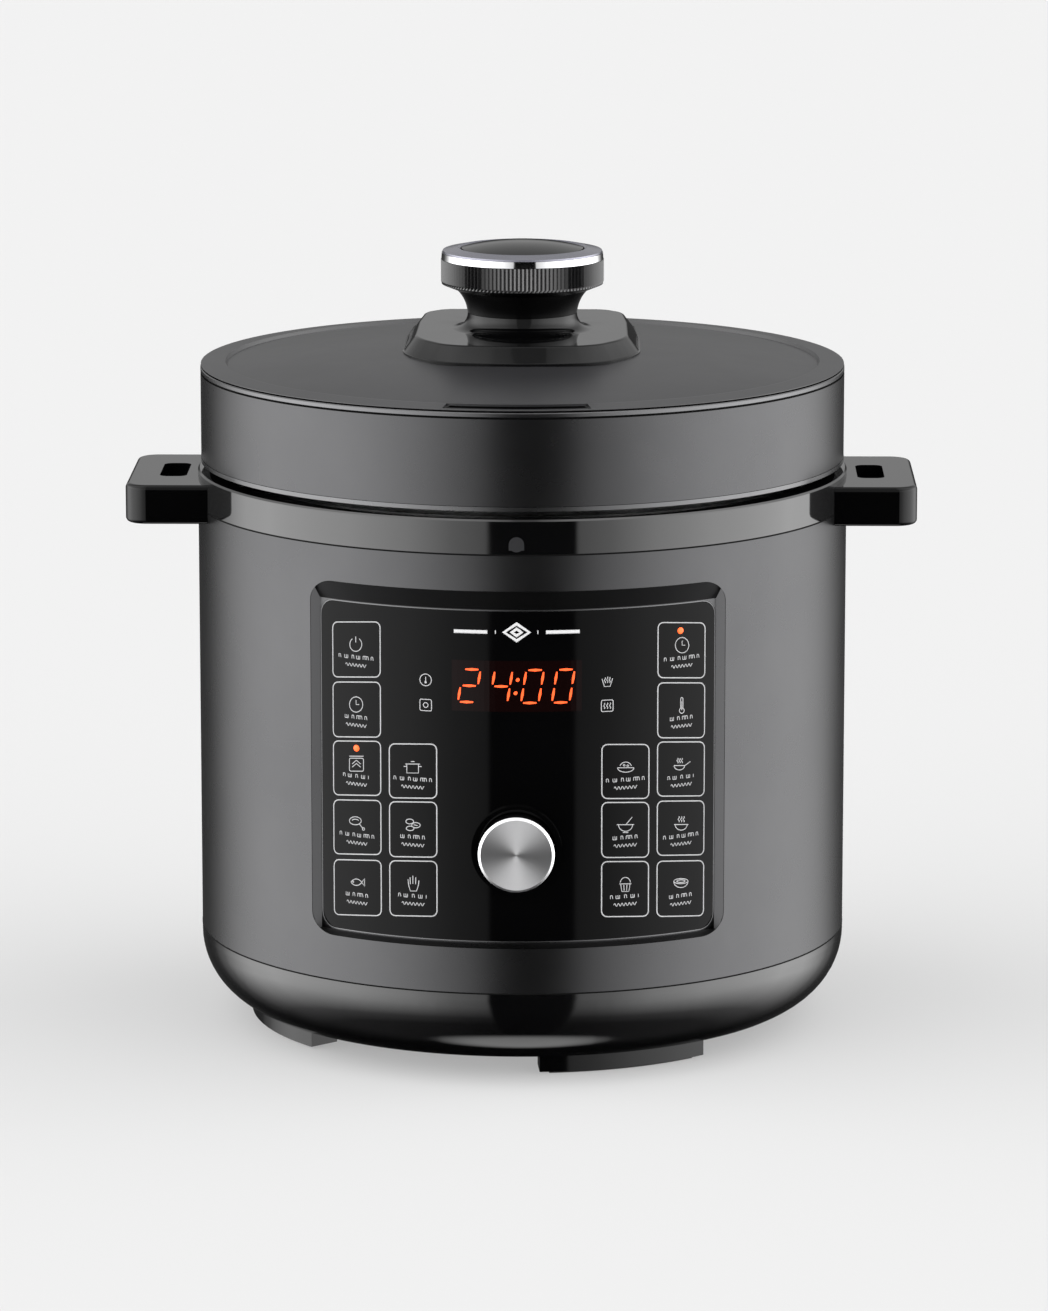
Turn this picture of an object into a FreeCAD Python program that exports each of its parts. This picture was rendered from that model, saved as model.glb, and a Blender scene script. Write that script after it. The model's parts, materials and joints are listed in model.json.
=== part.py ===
import FreeCAD, Part
import math
import os

os.makedirs("parts", exist_ok=True)

# Electric pressure cooker, millimetres. +Z is up and the front faces -Y. The origin is on the
# worktop, under the centre of the body.

# Driving dimensions: the pot and the layers around it
pot_radius = 118.0            # inside radius of the cooking pot
pot_depth = 183.0             # inside depth, about eight litres to the rim
pot_wall = 1.5
pot_floor = 2.0
pot_flange = 4.5              # the rolled rim stands out this far from the wall
pot_corner = 12.0             # radius between the floor and the wall
frame_gap = 5.0               # pot wall to pressure frame
frame_ledge = 32.0            # width of the frame's floor inside the pot's radius
frame_wall = 1.5
body_gap = 24.0               # pressure frame to the outside of the shell
shell_wall = 1.0
lid_step = 1.5                # the lid is this much smaller in radius than the shell

# Driving dimensions: heights
foot_height = 9.4
base_height = 33.6
base_wall = 3.0
base_curve = 34.0             # radius of the rounded side of the base
plate_level = 60.0            # top of the heating plate
plate_thickness = 6.0
rim_drop = 2.8                # the shell ends this far under the pot's rim
ring_height = 15.8
ring_wall = 3.0
mark_half_width = 3.4         # lock mark on the front of the ring
mark_height = 2.6
mark_rise = 2.2
mark_depth = 0.8
lid_gap = 3.5                 # open gap between the handle ring and the lid
trim_height = 1.9
band_height = 38.8
edge_height = 1.9
edge_ring_width = 2.4
groove = 1.0                  # shadow groove above and below the edge ring
cover_wall = 3.0
rim_width = 11.5              # sloping rim around the top of the lid
pocket_half_width = 33.7      # finger pocket in the front of the rim
pocket_depth = 2.2
rim_rise = 1.1
rim_step = 1.6                # drop from the rim's lip to the domed panel
dome_rise = 10.6
seam = 0.2                    # shadow line between fixed pieces
clearance = 0.3               # between pieces that move past each other

# Driving dimensions: bayonet lock
tab_count = 6
tab_half_angle = 13.0
tab_reach = 6.0               # how far each lid tab stands out
tab_thickness = 2.0
lid_skirt_gap = 4.0           # pot rim to the inside of the inner lid's skirt
skirt_wall = 1.5
lid_plate = 1.5
seal_height = 15.1

# Driving dimensions: control panel
recess_depth = 4.0
recess_top_slope = 9.5
recess_side_slope = 3.0
recess_bottom_slope = 2.3
panel_half_width = 94.3       # along the curved face
panel_top_margin = 25.7       # shell's top edge to the panel
panel_bottom_margin = 23.3    # shell's bottom edge to the panel
panel_corner = 7.0
panel_thickness = 2.0
ledge_width = 3.0
film_thickness = 0.4
display_width = 58.0
display_height = 23.0
display_drop = 34.0           # panel's top edge to the middle of the display
dial_rise = 42.2              # panel's bottom edge to the dial's centre
dial_radius = 17.0
dial_depth = 9.5
dial_gap = 2.0
dial_cap_thickness = 1.6
bezel_width = 3.2
shaft_radius = 3.0
shaft_clearance = 0.05
key_rows = 5
key_columns = (-75.5, -47.3, 49.3, 76.7)
short_column_rows = 3
led_radius = 1.5

# Driving dimensions: side handles
handle_reach = 31.2           # beyond the shell
handle_half_length = 45.0
handle_height = 18.0
handle_sink = 3.0             # handle's top under the ring's top
handle_corner = 10.0
slot_width = 12.5
slot_half_length = 18.5
slot_root = 4.5               # shell to the near side of the slot
handle_screw_offset = 34.0
handle_screw_rise = 5.4        # ring's lower edge to the screws

# Driving dimensions: knob and its base
bridge_rise = 5.5             # base's flat top above the crown of the lid
bridge_front = 68.0
bridge_back = 69.0
bridge_half_width = 55.7
bridge_taper = 6.5
bridge_wall = 2.5
steam_slot_pitch = 6.0        # steam leaves through slots in the back of the base
steam_slot_half = 1.8
collar_height = 7.3
collar_radius = 33.0
neck_radius = 25.2
neck_height = 10.5
knob_radius = 37.5
knob_under_radius = 30.3
knob_chamfer = 2.8
grip_height = 11.4
grip_depth = 1.9
chrome_height = 3.0
crown_height = 2.2
button_radius = 28.0
button_dome = 3.2
button_travel = 4.0
button_thickness = 3.0
button_stem = 5.0
rod_radius = 3.0
button_spring_radius = 8.0
button_spring_wire = 1.2
button_spring_turns = 3
knob_screw_circle = 15.0
knob_screw_count = 3
bridge_screw_front = (40.0, -30.0)
bridge_screw_back = (38.0, 16.0)       # to either side, and in from the back edge

# Driving dimensions: heater and sensor
plate_inset = 18.0            # pot's wall to the edge of the heating plate
plate_bore = 12.2
plate_skirt = 8.0
element_tube = 3.2            # radius of the heating tube
element_turn = 330.0
terminal_radius = 2.0
terminal_length = 12.0
sensor_radius = 11.5
sensor_head = 8.0
sensor_stem_radius = 4.0
sensor_stem = 14.0
sensor_spring_radius = 7.0
sensor_spring_wire = 1.0
sensor_spring_turns = 5
bracket_cup_radius = 10.0
bracket_cup_wall = 1.4
fuse_y = 45.0
switch_place = (50.0, -52.0)
reflector_wall = 0.6

# Driving dimensions: pressure release
valve_y = 38.0
pivot_y = 20.0
lever_drop = 16.9             # crown of the lid to the lever's top face
lever_thickness = 2.5
lever_half_width = 8.0
lever_nose = 6.0
pin_radius = 1.5
pipe_radius = 4.0
pipe_bore = 2.2
pipe_height = 21.0            # above the inner lid
pipe_tail = 5.0               # below the inner lid
weight_radius = 9.0
weight_skirt_bore = 4.4
neck_of_weight = 4.5
weight_head = 8.0
bracket_rise = 11.5           # lever's top face to the top of its bracket
bracket_reach = 36.0          # bracket's screws to either side
bracket_half_length = 41.0
bracket_half_width = 6.0
bracket_plate = 2.0
pin_half_length = 13.0
steam_opening = (30.0, -12.0, 56.0)   # half width, front and back of the hole in the cover
filter_radius = 12.0
filter_height = 9.0
filter_slits = 6
float_radius = 2.5
float_x = -38.0
float_y = 20.0
float_travel = 4.4

# Driving dimensions: feet, inlet, collector and screws
foot_radius = 127.0
foot_width = 15.0
foot_half_angle = 18.5
foot_count = 4
foot_turn = 23.0
pad_height = 2.4
pad_recess = 1.2
pad_margin = 2.5
inlet_half_width = 16.0
inlet_half_height = 12.5
inlet_rise = 26.0             # shell's lower edge to the inlet's centre
inlet_depth = 24.5
socket_half_width = 12.25
socket_half_height = 8.3
socket_depth = 20.0
blade_length = 14.0
collector_half_width = 26.0
collector_height = 41.0
collector_depth = 11.0
collector_wall = 1.5
collector_drop = 6.0          # shell's top edge to the collector's top
screw_radius = 2.0
screw_head = 3.8
post_radius = 6.0
screw_head_height = 2.4
post_inset = 12.0             # inside of the pressure frame to the base's posts
post_count = 4
boss_radius = 5.0
boss_count = 6
boss_inset = 18.0             # pot's wall to the bosses under the cover
boss_hole_depth = 22.0
vent_count = 12
board_thickness = 1.6
board_stand_x = 44.0
board_stand_y = (26.0, 78.0)
board_stand_height = 12.0

# Radii worked out from the pot outwards
pot_outer = pot_radius + pot_wall
rim_radius = pot_outer + pot_flange
frame_inner = pot_outer + frame_gap
frame_outer = frame_inner + frame_wall
body_radius = frame_outer + body_gap
shell_inner = body_radius - shell_wall
lid_radius = body_radius - lid_step
skirt_inner = rim_radius + lid_skirt_gap
skirt_outer = skirt_inner + skirt_wall
tab_radius = skirt_outer + tab_reach
lock_inner = skirt_outer + 1.4
lock_wall_inner = tab_radius + 1.0
lock_wall_outer = lock_wall_inner + frame_wall
dome_radius = lid_radius - rim_width
frame_opening = pot_radius - frame_ledge
post_circle = frame_inner - post_inset
foot_post_circle = foot_radius - foot_width / 2.0
cover_boss_circle = pot_radius - boss_inset
bezel_radius = dial_radius + bezel_width

# Levels worked out from the worktop upwards
shell_z = foot_height + base_height
pot_z = plate_level
pot_rim_z = plate_level + pot_floor + pot_depth
ring_z = pot_rim_z - rim_drop
ring_top = ring_z + ring_height
lid_z = ring_top + lid_gap
band_z = lid_z + trim_height + seam
band_top = band_z + band_height
edge_z = band_top + groove
rim_z = edge_z + edge_height + groove
lip_z = rim_z + rim_rise
disc_z = lip_z - rim_step
crown_z = disc_z + dome_rise
lever_level = crown_z - lever_drop
pivot_z = lever_level - lever_thickness / 2.0
frame_z = shell_z + 3.0
skirt_z = pot_rim_z + 2.5
inner_lid_z = pot_rim_z + seal_height + 0.4
inner_lid_top = inner_lid_z + lid_plate
bridge_z = crown_z + bridge_rise
collar_z = bridge_z + collar_height
knob_z = collar_z + seam
grip_z = knob_z + neck_height + knob_chamfer
chrome_z = grip_z + grip_height
crown_ring_z = chrome_z + chrome_height
knob_top = crown_ring_z + crown_height
button_z = knob_top - button_thickness
shelf_z = button_z - button_travel - 4.0

# Control panel, worked out from the shell
panel_radius = body_radius - recess_depth
panel_back = panel_radius - panel_thickness
dial_back = panel_radius + dial_gap
dial_front = dial_back + dial_depth
film_inner = panel_back - 0.1 - film_thickness
panel_half_angle = math.degrees(panel_half_width / panel_radius)
panel_half_chord = panel_radius * math.sin(math.radians(panel_half_angle))
panel_z = shell_z + panel_bottom_margin
panel_top = ring_z - panel_top_margin
display_z = panel_top - display_drop
dial_z = panel_z + dial_rise
recess_half_angle = panel_half_angle + math.degrees(recess_side_slope / body_radius)
recess_half_chord = body_radius * math.sin(math.radians(recess_half_angle))
board_face = frame_outer + 3.6
board_half_width = math.sqrt(film_inner ** 2 - board_face ** 2) - 2.0
collector_top = ring_z - collector_drop


def point(x, y, z):
    return FreeCAD.Vector(x, y, z)


up = point(0, 0, 1)
origin = point(0, 0, 0)


def block(x0, x1, y0, y1, z0, z1):
    return Part.makeBox(x1 - x0, y1 - y0, z1 - z0, point(x0, y0, z0))


def rounded_block(x0, x1, y0, y1, z0, z1, radius, axis):
    box = block(x0, x1, y0, y1, z0, z1)
    edges = [e for e in box.Edges if abs(e.tangentAt(e.FirstParameter).dot(axis)) > 0.99]
    return box.makeFillet(radius, edges)


def cylinder(radius, z0, z1, x=0.0, y=0.0):
    return Part.makeCylinder(radius, z1 - z0, point(x, y, z0))


def cylinder_y(radius, y0, y1, x, z):
    return Part.makeCylinder(radius, y1 - y0, point(x, y0, z), point(0, 1, 0))


def cylinder_x(radius, x0, x1, y, z):
    return Part.makeCylinder(radius, x1 - x0, point(x0, y, z), point(1, 0, 0))


def ring(inner, outer, z0, z1):
    return cylinder(outer, z0, z1).cut(cylinder(inner, z0 - 1.0, z1 + 1.0))


def spun(profile, angle=360.0):
    """Turn a closed outline of (radius, height) points about the vertical axis."""
    corners = [point(r, 0, z) for r, z in profile]
    outline = Part.makePolygon(corners + [corners[0]])
    return Part.Face(outline).revolve(origin, up, angle)


def sector(inner, outer, z0, z1, middle, half_angle):
    """A stretch of a ring, centred on an angle measured from +X."""
    piece = spun([(inner, z0), (outer, z0), (outer, z1), (inner, z1)], 2.0 * half_angle)
    piece.rotate(origin, up, middle - half_angle)
    return piece


def turned_to(shape, angle):
    copy = shape.copy()
    copy.rotate(origin, up, angle)
    return copy


def around(shape, count, start=0.0):
    return [turned_to(shape, start + 360.0 * k / count) for k in range(count)]


def fused(shapes):
    first, *rest = shapes
    return first.fuse(rest).removeSplitter() if rest else first


def group(shapes):
    return Part.makeCompound(shapes)


def screw(x, y, tip_z, head_z):
    """Pan-head screw. The head's flat seat is at head_z and the tip is at tip_z."""
    low, high = sorted((tip_z, head_z))
    shank = cylinder(screw_radius, low, high, x, y)
    head_low = head_z if tip_z < head_z else head_z - screw_head_height
    head = cylinder(screw_head, head_low, head_low + screw_head_height, x, y)
    drive_low = head_low + 1.2 if tip_z < head_z else head_low - 0.1
    slot = block(x - 2.4, x + 2.4, y - 0.5, y + 0.5, drive_low, drive_low + 1.3)
    cross = block(x - 0.5, x + 0.5, y - 2.4, y + 2.4, drive_low, drive_low + 1.3)
    return shank.fuse(head).cut(slot).cut(cross)


def arc_edge(start, middle, end):
    return Part.Arc(start, middle, end).toShape()


def line_edge(start, end):
    return Part.LineSegment(start, end).toShape()


# Base and feet

def base_body(inset, low, high):
    """Solid of the base's outer shape, drawn in by a wall thickness."""
    centre_z = shell_z - 3.0
    reach = base_curve - inset
    centre_r = body_radius - base_curve
    drop = centre_z - low
    foot_r = centre_r + math.sqrt(reach ** 2 - drop ** 2)
    half_turn = math.asin(drop / reach) / 2.0
    middle = point(centre_r + reach * math.cos(half_turn), 0,
                   centre_z - reach * math.sin(half_turn))
    corners = [point(0, 0, low), point(foot_r, 0, low), point(centre_r + reach, 0, centre_z),
               point(centre_r + reach, 0, high), point(0, 0, high)]
    edges = [line_edge(corners[0], corners[1]), arc_edge(corners[1], middle, corners[2]),
             line_edge(corners[2], corners[3]), line_edge(corners[3], corners[4]),
             line_edge(corners[4], corners[0])]
    return Part.Face(Part.Wire(edges)).revolve(origin, up, 360)


def base_housing():
    """Moulded bowl with the posts for the frame, the stands for the board and the vents."""
    floor = foot_height + base_wall
    outer = base_body(0.0, foot_height, shell_z)
    inner = base_body(base_wall, floor, shell_z + 1.0)
    bowl = outer.cut(inner)
    lip = ring(shell_inner - base_wall, shell_inner - seam, shell_z - 5.0, shell_z + 5.0)
    post = cylinder(post_radius, foot_height + 1.0, frame_z, post_circle, 0)
    post_hole = cylinder(screw_radius + 0.1, floor, frame_z + 1.0, post_circle, 0)
    stands = [cylinder(4.0, foot_height + 1.0, foot_height + board_stand_height, x, y)
              for x in (-board_stand_x, board_stand_x) for y in board_stand_y]
    bowl = fused([bowl, lip] + around(post, post_count, 45.0) + stands)
    for hole in around(post_hole, post_count, 45.0):
        bowl = bowl.cut(hole)
    foot_hole = cylinder(screw_radius + 0.1, foot_height - 1.0, foot_height + 14.0, foot_post_circle, 0)
    foot_boss = cylinder(post_radius, foot_height + 1.0, foot_height + 12.0, foot_post_circle, 0)
    bowl = fused([bowl] + around(foot_boss, foot_count, foot_turn))
    for hole in around(foot_hole, foot_count, foot_turn):
        bowl = bowl.cut(hole)
    vent = rounded_block(40, 66, -2.0, 2.0, foot_height - 1.0, floor + 1.0, 1.9, up)
    for slit in around(vent, vent_count, 15.0):
        bowl = bowl.cut(slit)
    return bowl


def feet():
    inner = foot_radius - foot_width
    foot = sector(inner, foot_radius, pad_recess, foot_height, 0, foot_half_angle)
    pad_space = sector(inner + pad_margin, foot_radius - pad_margin, 0, pad_height, 0,
                       foot_half_angle - 2.0)
    screw_hole = cylinder(screw_radius + 0.1, 0, foot_height + 1.0, foot_post_circle, 0)
    head_hole = cylinder(screw_head + 0.2, 0, foot_height - 3.0, foot_post_circle, 0)
    foot = foot.cut(pad_space).cut(screw_hole).cut(head_hole)
    return group(around(foot, foot_count, foot_turn))


def foot_pads():
    inner = foot_radius - foot_width + pad_margin + 0.1
    pad = sector(inner, foot_radius - pad_margin - 0.1, 0, pad_height, 0, foot_half_angle - 2.1)
    window = cylinder(screw_head + 0.2, -1.0, pad_height + 1.0, foot_post_circle, 0)
    return group(around(pad.cut(window), foot_count, foot_turn))


def foot_screws():
    piece = screw(foot_post_circle, 0, foot_height + 11.0, foot_height - 3.0)
    return around(piece, foot_count, foot_turn)


def frame_screws():
    head_z = frame_z + frame_wall
    return around(screw(post_circle, 0, head_z - 16.0, head_z), post_count, 45.0)


# Pressure frame, heater and pot

def pressure_frame():
    """Steel can that holds the pot and carries the bayonet ring at its mouth."""
    top = skirt_z + 2.0 * tab_thickness + 2.6
    flare_z = ring_z - 9.0
    can = spun([(frame_opening, frame_z), (frame_outer, frame_z), (frame_outer, flare_z),
                (lock_wall_outer, flare_z + 6.0), (lock_wall_outer, top - frame_wall),
                (body_radius - 4.0, top - frame_wall), (body_radius - 4.0, top),
                (lock_wall_inner, top), (lock_wall_inner, flare_z + 6.0 + frame_wall),
                (frame_inner, flare_z + frame_wall), (frame_inner, frame_z + frame_wall),
                (frame_opening, frame_z + frame_wall)])
    tab_z = skirt_z + tab_thickness + 1.3
    tab = sector(lock_inner, lock_wall_inner + 0.5, tab_z, tab_z + tab_thickness, 0, tab_half_angle)
    hole = cylinder(screw_radius + 0.1, frame_z - 1.0, frame_z + frame_wall + 1.0, post_circle, 0)
    can = fused([can] + around(tab, tab_count))
    for cut in around(hole, post_count, 45.0):
        can = can.cut(cut)
    return can


def heat_reflector():
    middle = (pot_outer + frame_inner) / 2.0
    half = reflector_wall / 2.0
    return ring(middle - half, middle + half, frame_z + frame_wall, ring_z - 14.0)


def heating_plate():
    edge = pot_radius - plate_inset
    top = plate_level
    under = top - plate_thickness
    foot = frame_z + frame_wall
    return spun([(plate_bore, under), (edge - plate_skirt, under), (edge - plate_skirt, foot),
                 (edge, foot), (edge, top - 1.0), (edge - 1.0, top), (plate_bore, top)])


def heating_element():
    """Tubular element: most of a turn, with two terminals hanging down."""
    radius = frame_opening - 8.0
    level = plate_level - plate_thickness - element_tube - seam
    circle = Part.makeCircle(element_tube, point(radius, 0, level), point(0, 1, 0))
    loop = Part.Face(Part.Wire(circle)).revolve(origin, up, element_turn)
    start = cylinder(terminal_radius, level - terminal_length, level, radius, 0)
    end = turned_to(start, element_turn)
    return turned_to(fused([loop, start, end]), (360.0 - element_turn) / 2.0)


def temperature_sensor():
    low = plate_level - sensor_head
    head = cylinder(sensor_radius, low, plate_level)
    stem = cylinder(sensor_stem_radius, low - sensor_stem, low)
    return head.fuse(stem)


def coil_spring(radius, wire, z0, z1, turns):
    """A helical compression spring with open ends."""
    pitch = (z1 - z0 - wire) / turns
    path = Part.makeHelix(pitch, z1 - z0 - wire, radius)
    path.translate(point(0, 0, z0 + wire / 2.0))
    circle = Part.makeCircle(wire / 2.0, point(radius, 0, z0 + wire / 2.0), point(0, 1, 0))
    return Part.Wire(path).makePipeShell([Part.Wire(circle)], True, True)


def sensor_spring():
    top = plate_level - sensor_head - seam
    return coil_spring(sensor_spring_radius, sensor_spring_wire, plate_level - 21.5, top,
                       sensor_spring_turns)


def sensor_bracket():
    """Cup under the plate that guides the sensor and holds the spring."""
    low = plate_level - 24.0
    cup = ring(bracket_cup_radius - bracket_cup_wall, bracket_cup_radius, low,
               plate_level - plate_thickness - 4.0)
    floor = ring(sensor_stem_radius + clearance, bracket_cup_radius, low, low + 1.5)
    arm = block(bracket_cup_radius - 1.0, frame_opening + 6.0, -7.0, 7.0, frame_z - 1.2, frame_z)
    arms = [arm, arm.mirror(origin, point(1, 0, 0))]
    return fused([cup, floor] + arms)


def thermal_fuse():
    level = plate_level - plate_thickness - 2.4
    barrel = cylinder_x(2.2, -7.0, 7.0, fuse_y, level)
    leads = cylinder_x(0.6, -14.0, 14.0, fuse_y, level)
    return barrel.fuse(leads)


def pressure_switch():
    """Small switch on a stand, with a lever on top."""
    x, y = switch_place
    floor = foot_height + base_wall
    stand = block(x - 12.0, x + 12.0, y - 6.0, y + 6.0, floor, floor + 8.0)
    case = block(x - 10.0, x + 10.0, y - 3.2, y + 3.2, floor + 8.0, floor + 18.0)
    button = block(x - 2.0, x + 2.0, y - 1.5, y + 1.5, floor + 18.0, floor + 19.5)
    lever = block(x - 8.0, x + 10.0, y - 2.0, y + 2.0, floor + 19.5, floor + 20.0)
    return fused([stand, case, button, lever])


def power_board():
    """Board with a transformer, a relay, capacitors and a connector."""
    low = foot_height + board_stand_height
    top = low + board_thickness
    board = block(-56.0, 56.0, 20.0, 84.0, low, top)
    transformer = block(-48.0, -24.0, 30.0, 56.0, top, low + 20.0)
    relay = block(-14.0, 6.0, 28.0, 44.0, top, low + 17.0)
    filter_block = block(12.0, 30.0, 26.0, 40.0, top, low + 13.0)
    connector = block(-50.0, -20.0, 66.0, 78.0, top, low + 12.0)
    large_can = cylinder(8.0, top, low + 21.0, 24.0, 62.0)
    small_can = cylinder(5.0, top, low + 15.0, -4.0, 66.0)
    return fused([board, transformer, relay, filter_block, connector, large_can, small_can])


def inner_pot():
    """Cooking pot: a deep cup with a rounded foot and a rolled-out rim."""
    top = pot_rim_z
    c = pot_corner
    slant = 1.0 - math.sqrt(0.5)

    def cup(radius, low, corner):
        points = [point(0, 0, low), point(radius - corner, 0, low),
                  point(radius - corner * slant, 0, low + corner * slant),
                  point(radius, 0, low + corner), point(radius, 0, top + 1.0), point(0, 0, top + 1.0)]
        edges = [line_edge(points[0], points[1]), arc_edge(points[1], points[2], points[3]),
                 line_edge(points[3], points[4]), line_edge(points[4], points[5]),
                 line_edge(points[5], points[0])]
        return Part.Face(Part.Wire(edges)).revolve(origin, up, 360)

    body = cup(pot_outer, pot_z, c + pot_wall)
    body = body.fuse(cylinder(rim_radius, top - 2.0, top + 1.0))
    body = body.cut(cup(pot_radius, pot_z + pot_floor, c))
    return body.cut(cylinder(rim_radius + 5.0, top, top + 5.0)).removeSplitter()


# Shell, handle ring and handles

def window_prism(half_chord, low, high, corner):
    """Rounded opening, straight along Y, through the front of the shell."""
    return rounded_block(-half_chord, half_chord, -body_radius - 5.0, -body_radius * 0.5, low, high,
                         corner, point(0, 1, 0))


def front_point(radius, angle, z):
    """A point at an angle to the right of the front."""
    return point(radius * math.sin(angle), -radius * math.cos(angle), z)


def recess_prism():
    return window_prism(recess_half_chord, panel_z - recess_bottom_slope, panel_top + recess_top_slope,
                        panel_corner + 3.0)


def outer_shell():
    sleeve = ring(shell_inner, body_radius, shell_z + seam, ring_z)
    z = shell_z + inlet_rise
    inlet = block(-inlet_half_width - seam, inlet_half_width + seam, 0, body_radius + 5.0,
                  z - inlet_half_height - seam, z + inlet_half_height + seam)
    return sleeve.cut(recess_prism()).cut(inlet)


def panel_bezel():
    """Sloping frame from the shell's face down to the control panel."""
    low = panel_z - recess_bottom_slope
    high = panel_top + recess_top_slope
    back = panel_back - 1.4
    behind = shell_inner - seam
    slab = spun([(back, low - 3.0), (behind, low - 3.0), (behind, low), (body_radius, low),
                 (panel_radius, panel_z - 0.6), (panel_radius, panel_top + 0.6), (body_radius, high),
                 (behind, high), (behind, high + 3.0), (back, high + 3.0)],
                2.0 * recess_half_angle + 4.0)
    slab.rotate(origin, up, -90.0 - recess_half_angle - 2.0)
    edge_angle = math.radians(recess_half_angle)
    foot_angle = math.radians(panel_half_angle) + 0.6 / panel_radius
    wedge_corners = [front_point(panel_radius, foot_angle, low), front_point(body_radius, edge_angle, low),
                     front_point(back, edge_angle, low), front_point(back, foot_angle, low)]
    wedge = Part.Face(Part.makePolygon(wedge_corners + [wedge_corners[0]])).extrude(point(0, 0, high - low))
    frame = fused([slab, wedge, wedge.mirror(origin, point(1, 0, 0))])
    proud = ring(behind, body_radius + 6.0, low - 4.0, high + 4.0)
    outside = proud.cut(window_prism(recess_half_chord - seam, low + seam, high - seam, panel_corner + 2.8))
    frame = frame.cut(outside)
    seat = ring(panel_back, body_radius + 6.0, low - 4.0, high + 4.0)
    seat = seat.common(window_prism(panel_half_chord + seam, panel_z - seam, panel_top + seam,
                                    panel_corner + seam))
    through = window_prism(panel_half_chord - ledge_width, panel_z + ledge_width, panel_top - ledge_width,
                           panel_corner)
    return frame.cut(seat).cut(through)


def control_panel():
    slab = sector(panel_back, panel_radius, panel_z - 5.0, panel_top + 5.0, -90.0, panel_half_angle + 3.0)
    plate = slab.common(window_prism(panel_half_chord, panel_z, panel_top, panel_corner))
    return plate.cut(cylinder_y(shaft_radius + 1.4, -body_radius, -body_radius * 0.5, 0, dial_z))


def touch_film():
    half = math.degrees((panel_half_width - ledge_width - 4.0) / panel_radius)
    film = sector(film_inner, film_inner + film_thickness, panel_z + 6.0, panel_top - 6.0, -90.0, half)
    film = film.cut(cylinder_y(shaft_radius + 3.0, -body_radius, -body_radius * 0.5, 0, dial_z))
    display = block(-display_width / 2.0 - 2.0, display_width / 2.0 + 2.0, -body_radius, -body_radius * 0.5,
                    display_z - display_height / 2.0 - 2.0, display_z + display_height / 2.0 + 2.0)
    return film.cut(display)


def indicator_leds():
    """One small lamp at the top of each touch key."""
    pitch = (panel_top - panel_z - 12.0) / key_rows
    lamp = Part.makeCylinder(led_radius, 2.0, point(0, -film_inner + 0.1, 0), point(0, 1, 0))
    lamps = []
    for column, arc in enumerate(key_columns):
        rows = key_rows if column in (0, 3) else short_column_rows
        for row in range(rows):
            copy = lamp.copy()
            copy.translate(point(0, 0, panel_z + 6.0 + pitch * (row + 1) - 5.0))
            copy.rotate(origin, up, math.degrees(arc / panel_radius))
            lamps.append(copy)
    return group(lamps)


def display_module():
    half = display_width / 2.0
    front = math.sqrt((panel_back - 0.2) ** 2 - half ** 2)
    return block(-half, half, -front, -board_face - 0.1, display_z - display_height / 2.0,
                 display_z + display_height / 2.0)


def control_board():
    board = block(-board_half_width, board_half_width, -board_face, -board_face + board_thickness,
                  panel_z + 8.0, panel_top - 6.0)
    chip = block(-8.0, 8.0, -board_face - 2.0, -board_face, panel_z + 14.0, panel_z + 26.0)
    return board.fuse(chip)


def dial_encoder():
    case = block(-7.0, 7.0, -board_face - 6.5, -board_face - 0.1, dial_z - 7.0, dial_z + 7.0)
    bushing = cylinder_y(shaft_radius + 0.7, -panel_radius - 0.6, -board_face - 6.0, 0, dial_z)
    bore = cylinder_y(shaft_radius + shaft_clearance, -panel_radius - 2.0, -board_face - 4.0, 0, dial_z)
    return case.fuse(bushing).cut(bore)


def dial_bezel():
    tube = cylinder_y(bezel_radius, -dial_back - 0.6, -panel_radius + 4.0, 0, dial_z)
    tube = tube.cut(cylinder_y(dial_radius + 0.8, -dial_front, -panel_radius + 10.0, 0, dial_z))
    return tube.cut(cylinder(panel_radius + 0.02, dial_z - 50.0, dial_z + 50.0))


def dial_shaft():
    return cylinder_y(shaft_radius, -dial_front + 3.0, -board_face - 4.4, 0, dial_z)


def dial_knob():
    body = cylinder_y(dial_radius, -dial_front + dial_cap_thickness, -dial_back, 0, dial_z)
    hollow = cylinder_y(dial_radius - 2.0, -dial_front + 4.0, -dial_back + 1.0, 0, dial_z)
    hub = cylinder_y(shaft_radius + 2.0, -dial_front + 3.5, -dial_back, 0, dial_z)
    hole = cylinder_y(shaft_radius, -dial_front + 3.0, -dial_back + 1.0, 0, dial_z)
    return body.cut(hollow).fuse(hub).cut(hole).removeSplitter()


def dial_cap():
    """Spun metal face with a bright chamfered edge."""
    cap = cylinder_y(dial_radius, -dial_front, -dial_front + dial_cap_thickness, 0, dial_z)
    rim = [e for e in cap.Edges if e.Length > 1.0 and abs(e.BoundBox.YMax + dial_front) < 0.01]
    return cap.makeChamfer(1.1, rim)


def ring_band():
    """Gloss band that caps the shell, with a flange over the pressure frame."""
    skirt = shell_inner - seam
    flange = lock_wall_outer + 3.0
    under = ring_top - ring_wall + 0.4
    return spun([(skirt - 2.0, ring_z - 8.0), (skirt, ring_z - 8.0), (skirt, ring_z + 0.4),
                 (body_radius, ring_z + 0.4), (body_radius, ring_top - 0.8),
                 (body_radius - 0.8, ring_top), (flange, ring_top), (flange, under),
                 (body_radius - ring_wall, under), (body_radius - ring_wall, ring_z + 0.4),
                 (skirt - 2.0, ring_z + 0.4)])


def handle_ring():
    """The band, drilled for the handle screws and cut for the lock mark."""
    band = ring_band()
    for y in (-handle_screw_offset, handle_screw_offset):
        hole = cylinder_x(screw_radius + 0.1, -body_radius - 5.0, body_radius + 5.0, y,
                          ring_z + handle_screw_rise)
        band = band.cut(hole)
    return band.cut(mark_solid(0.1))


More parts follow.
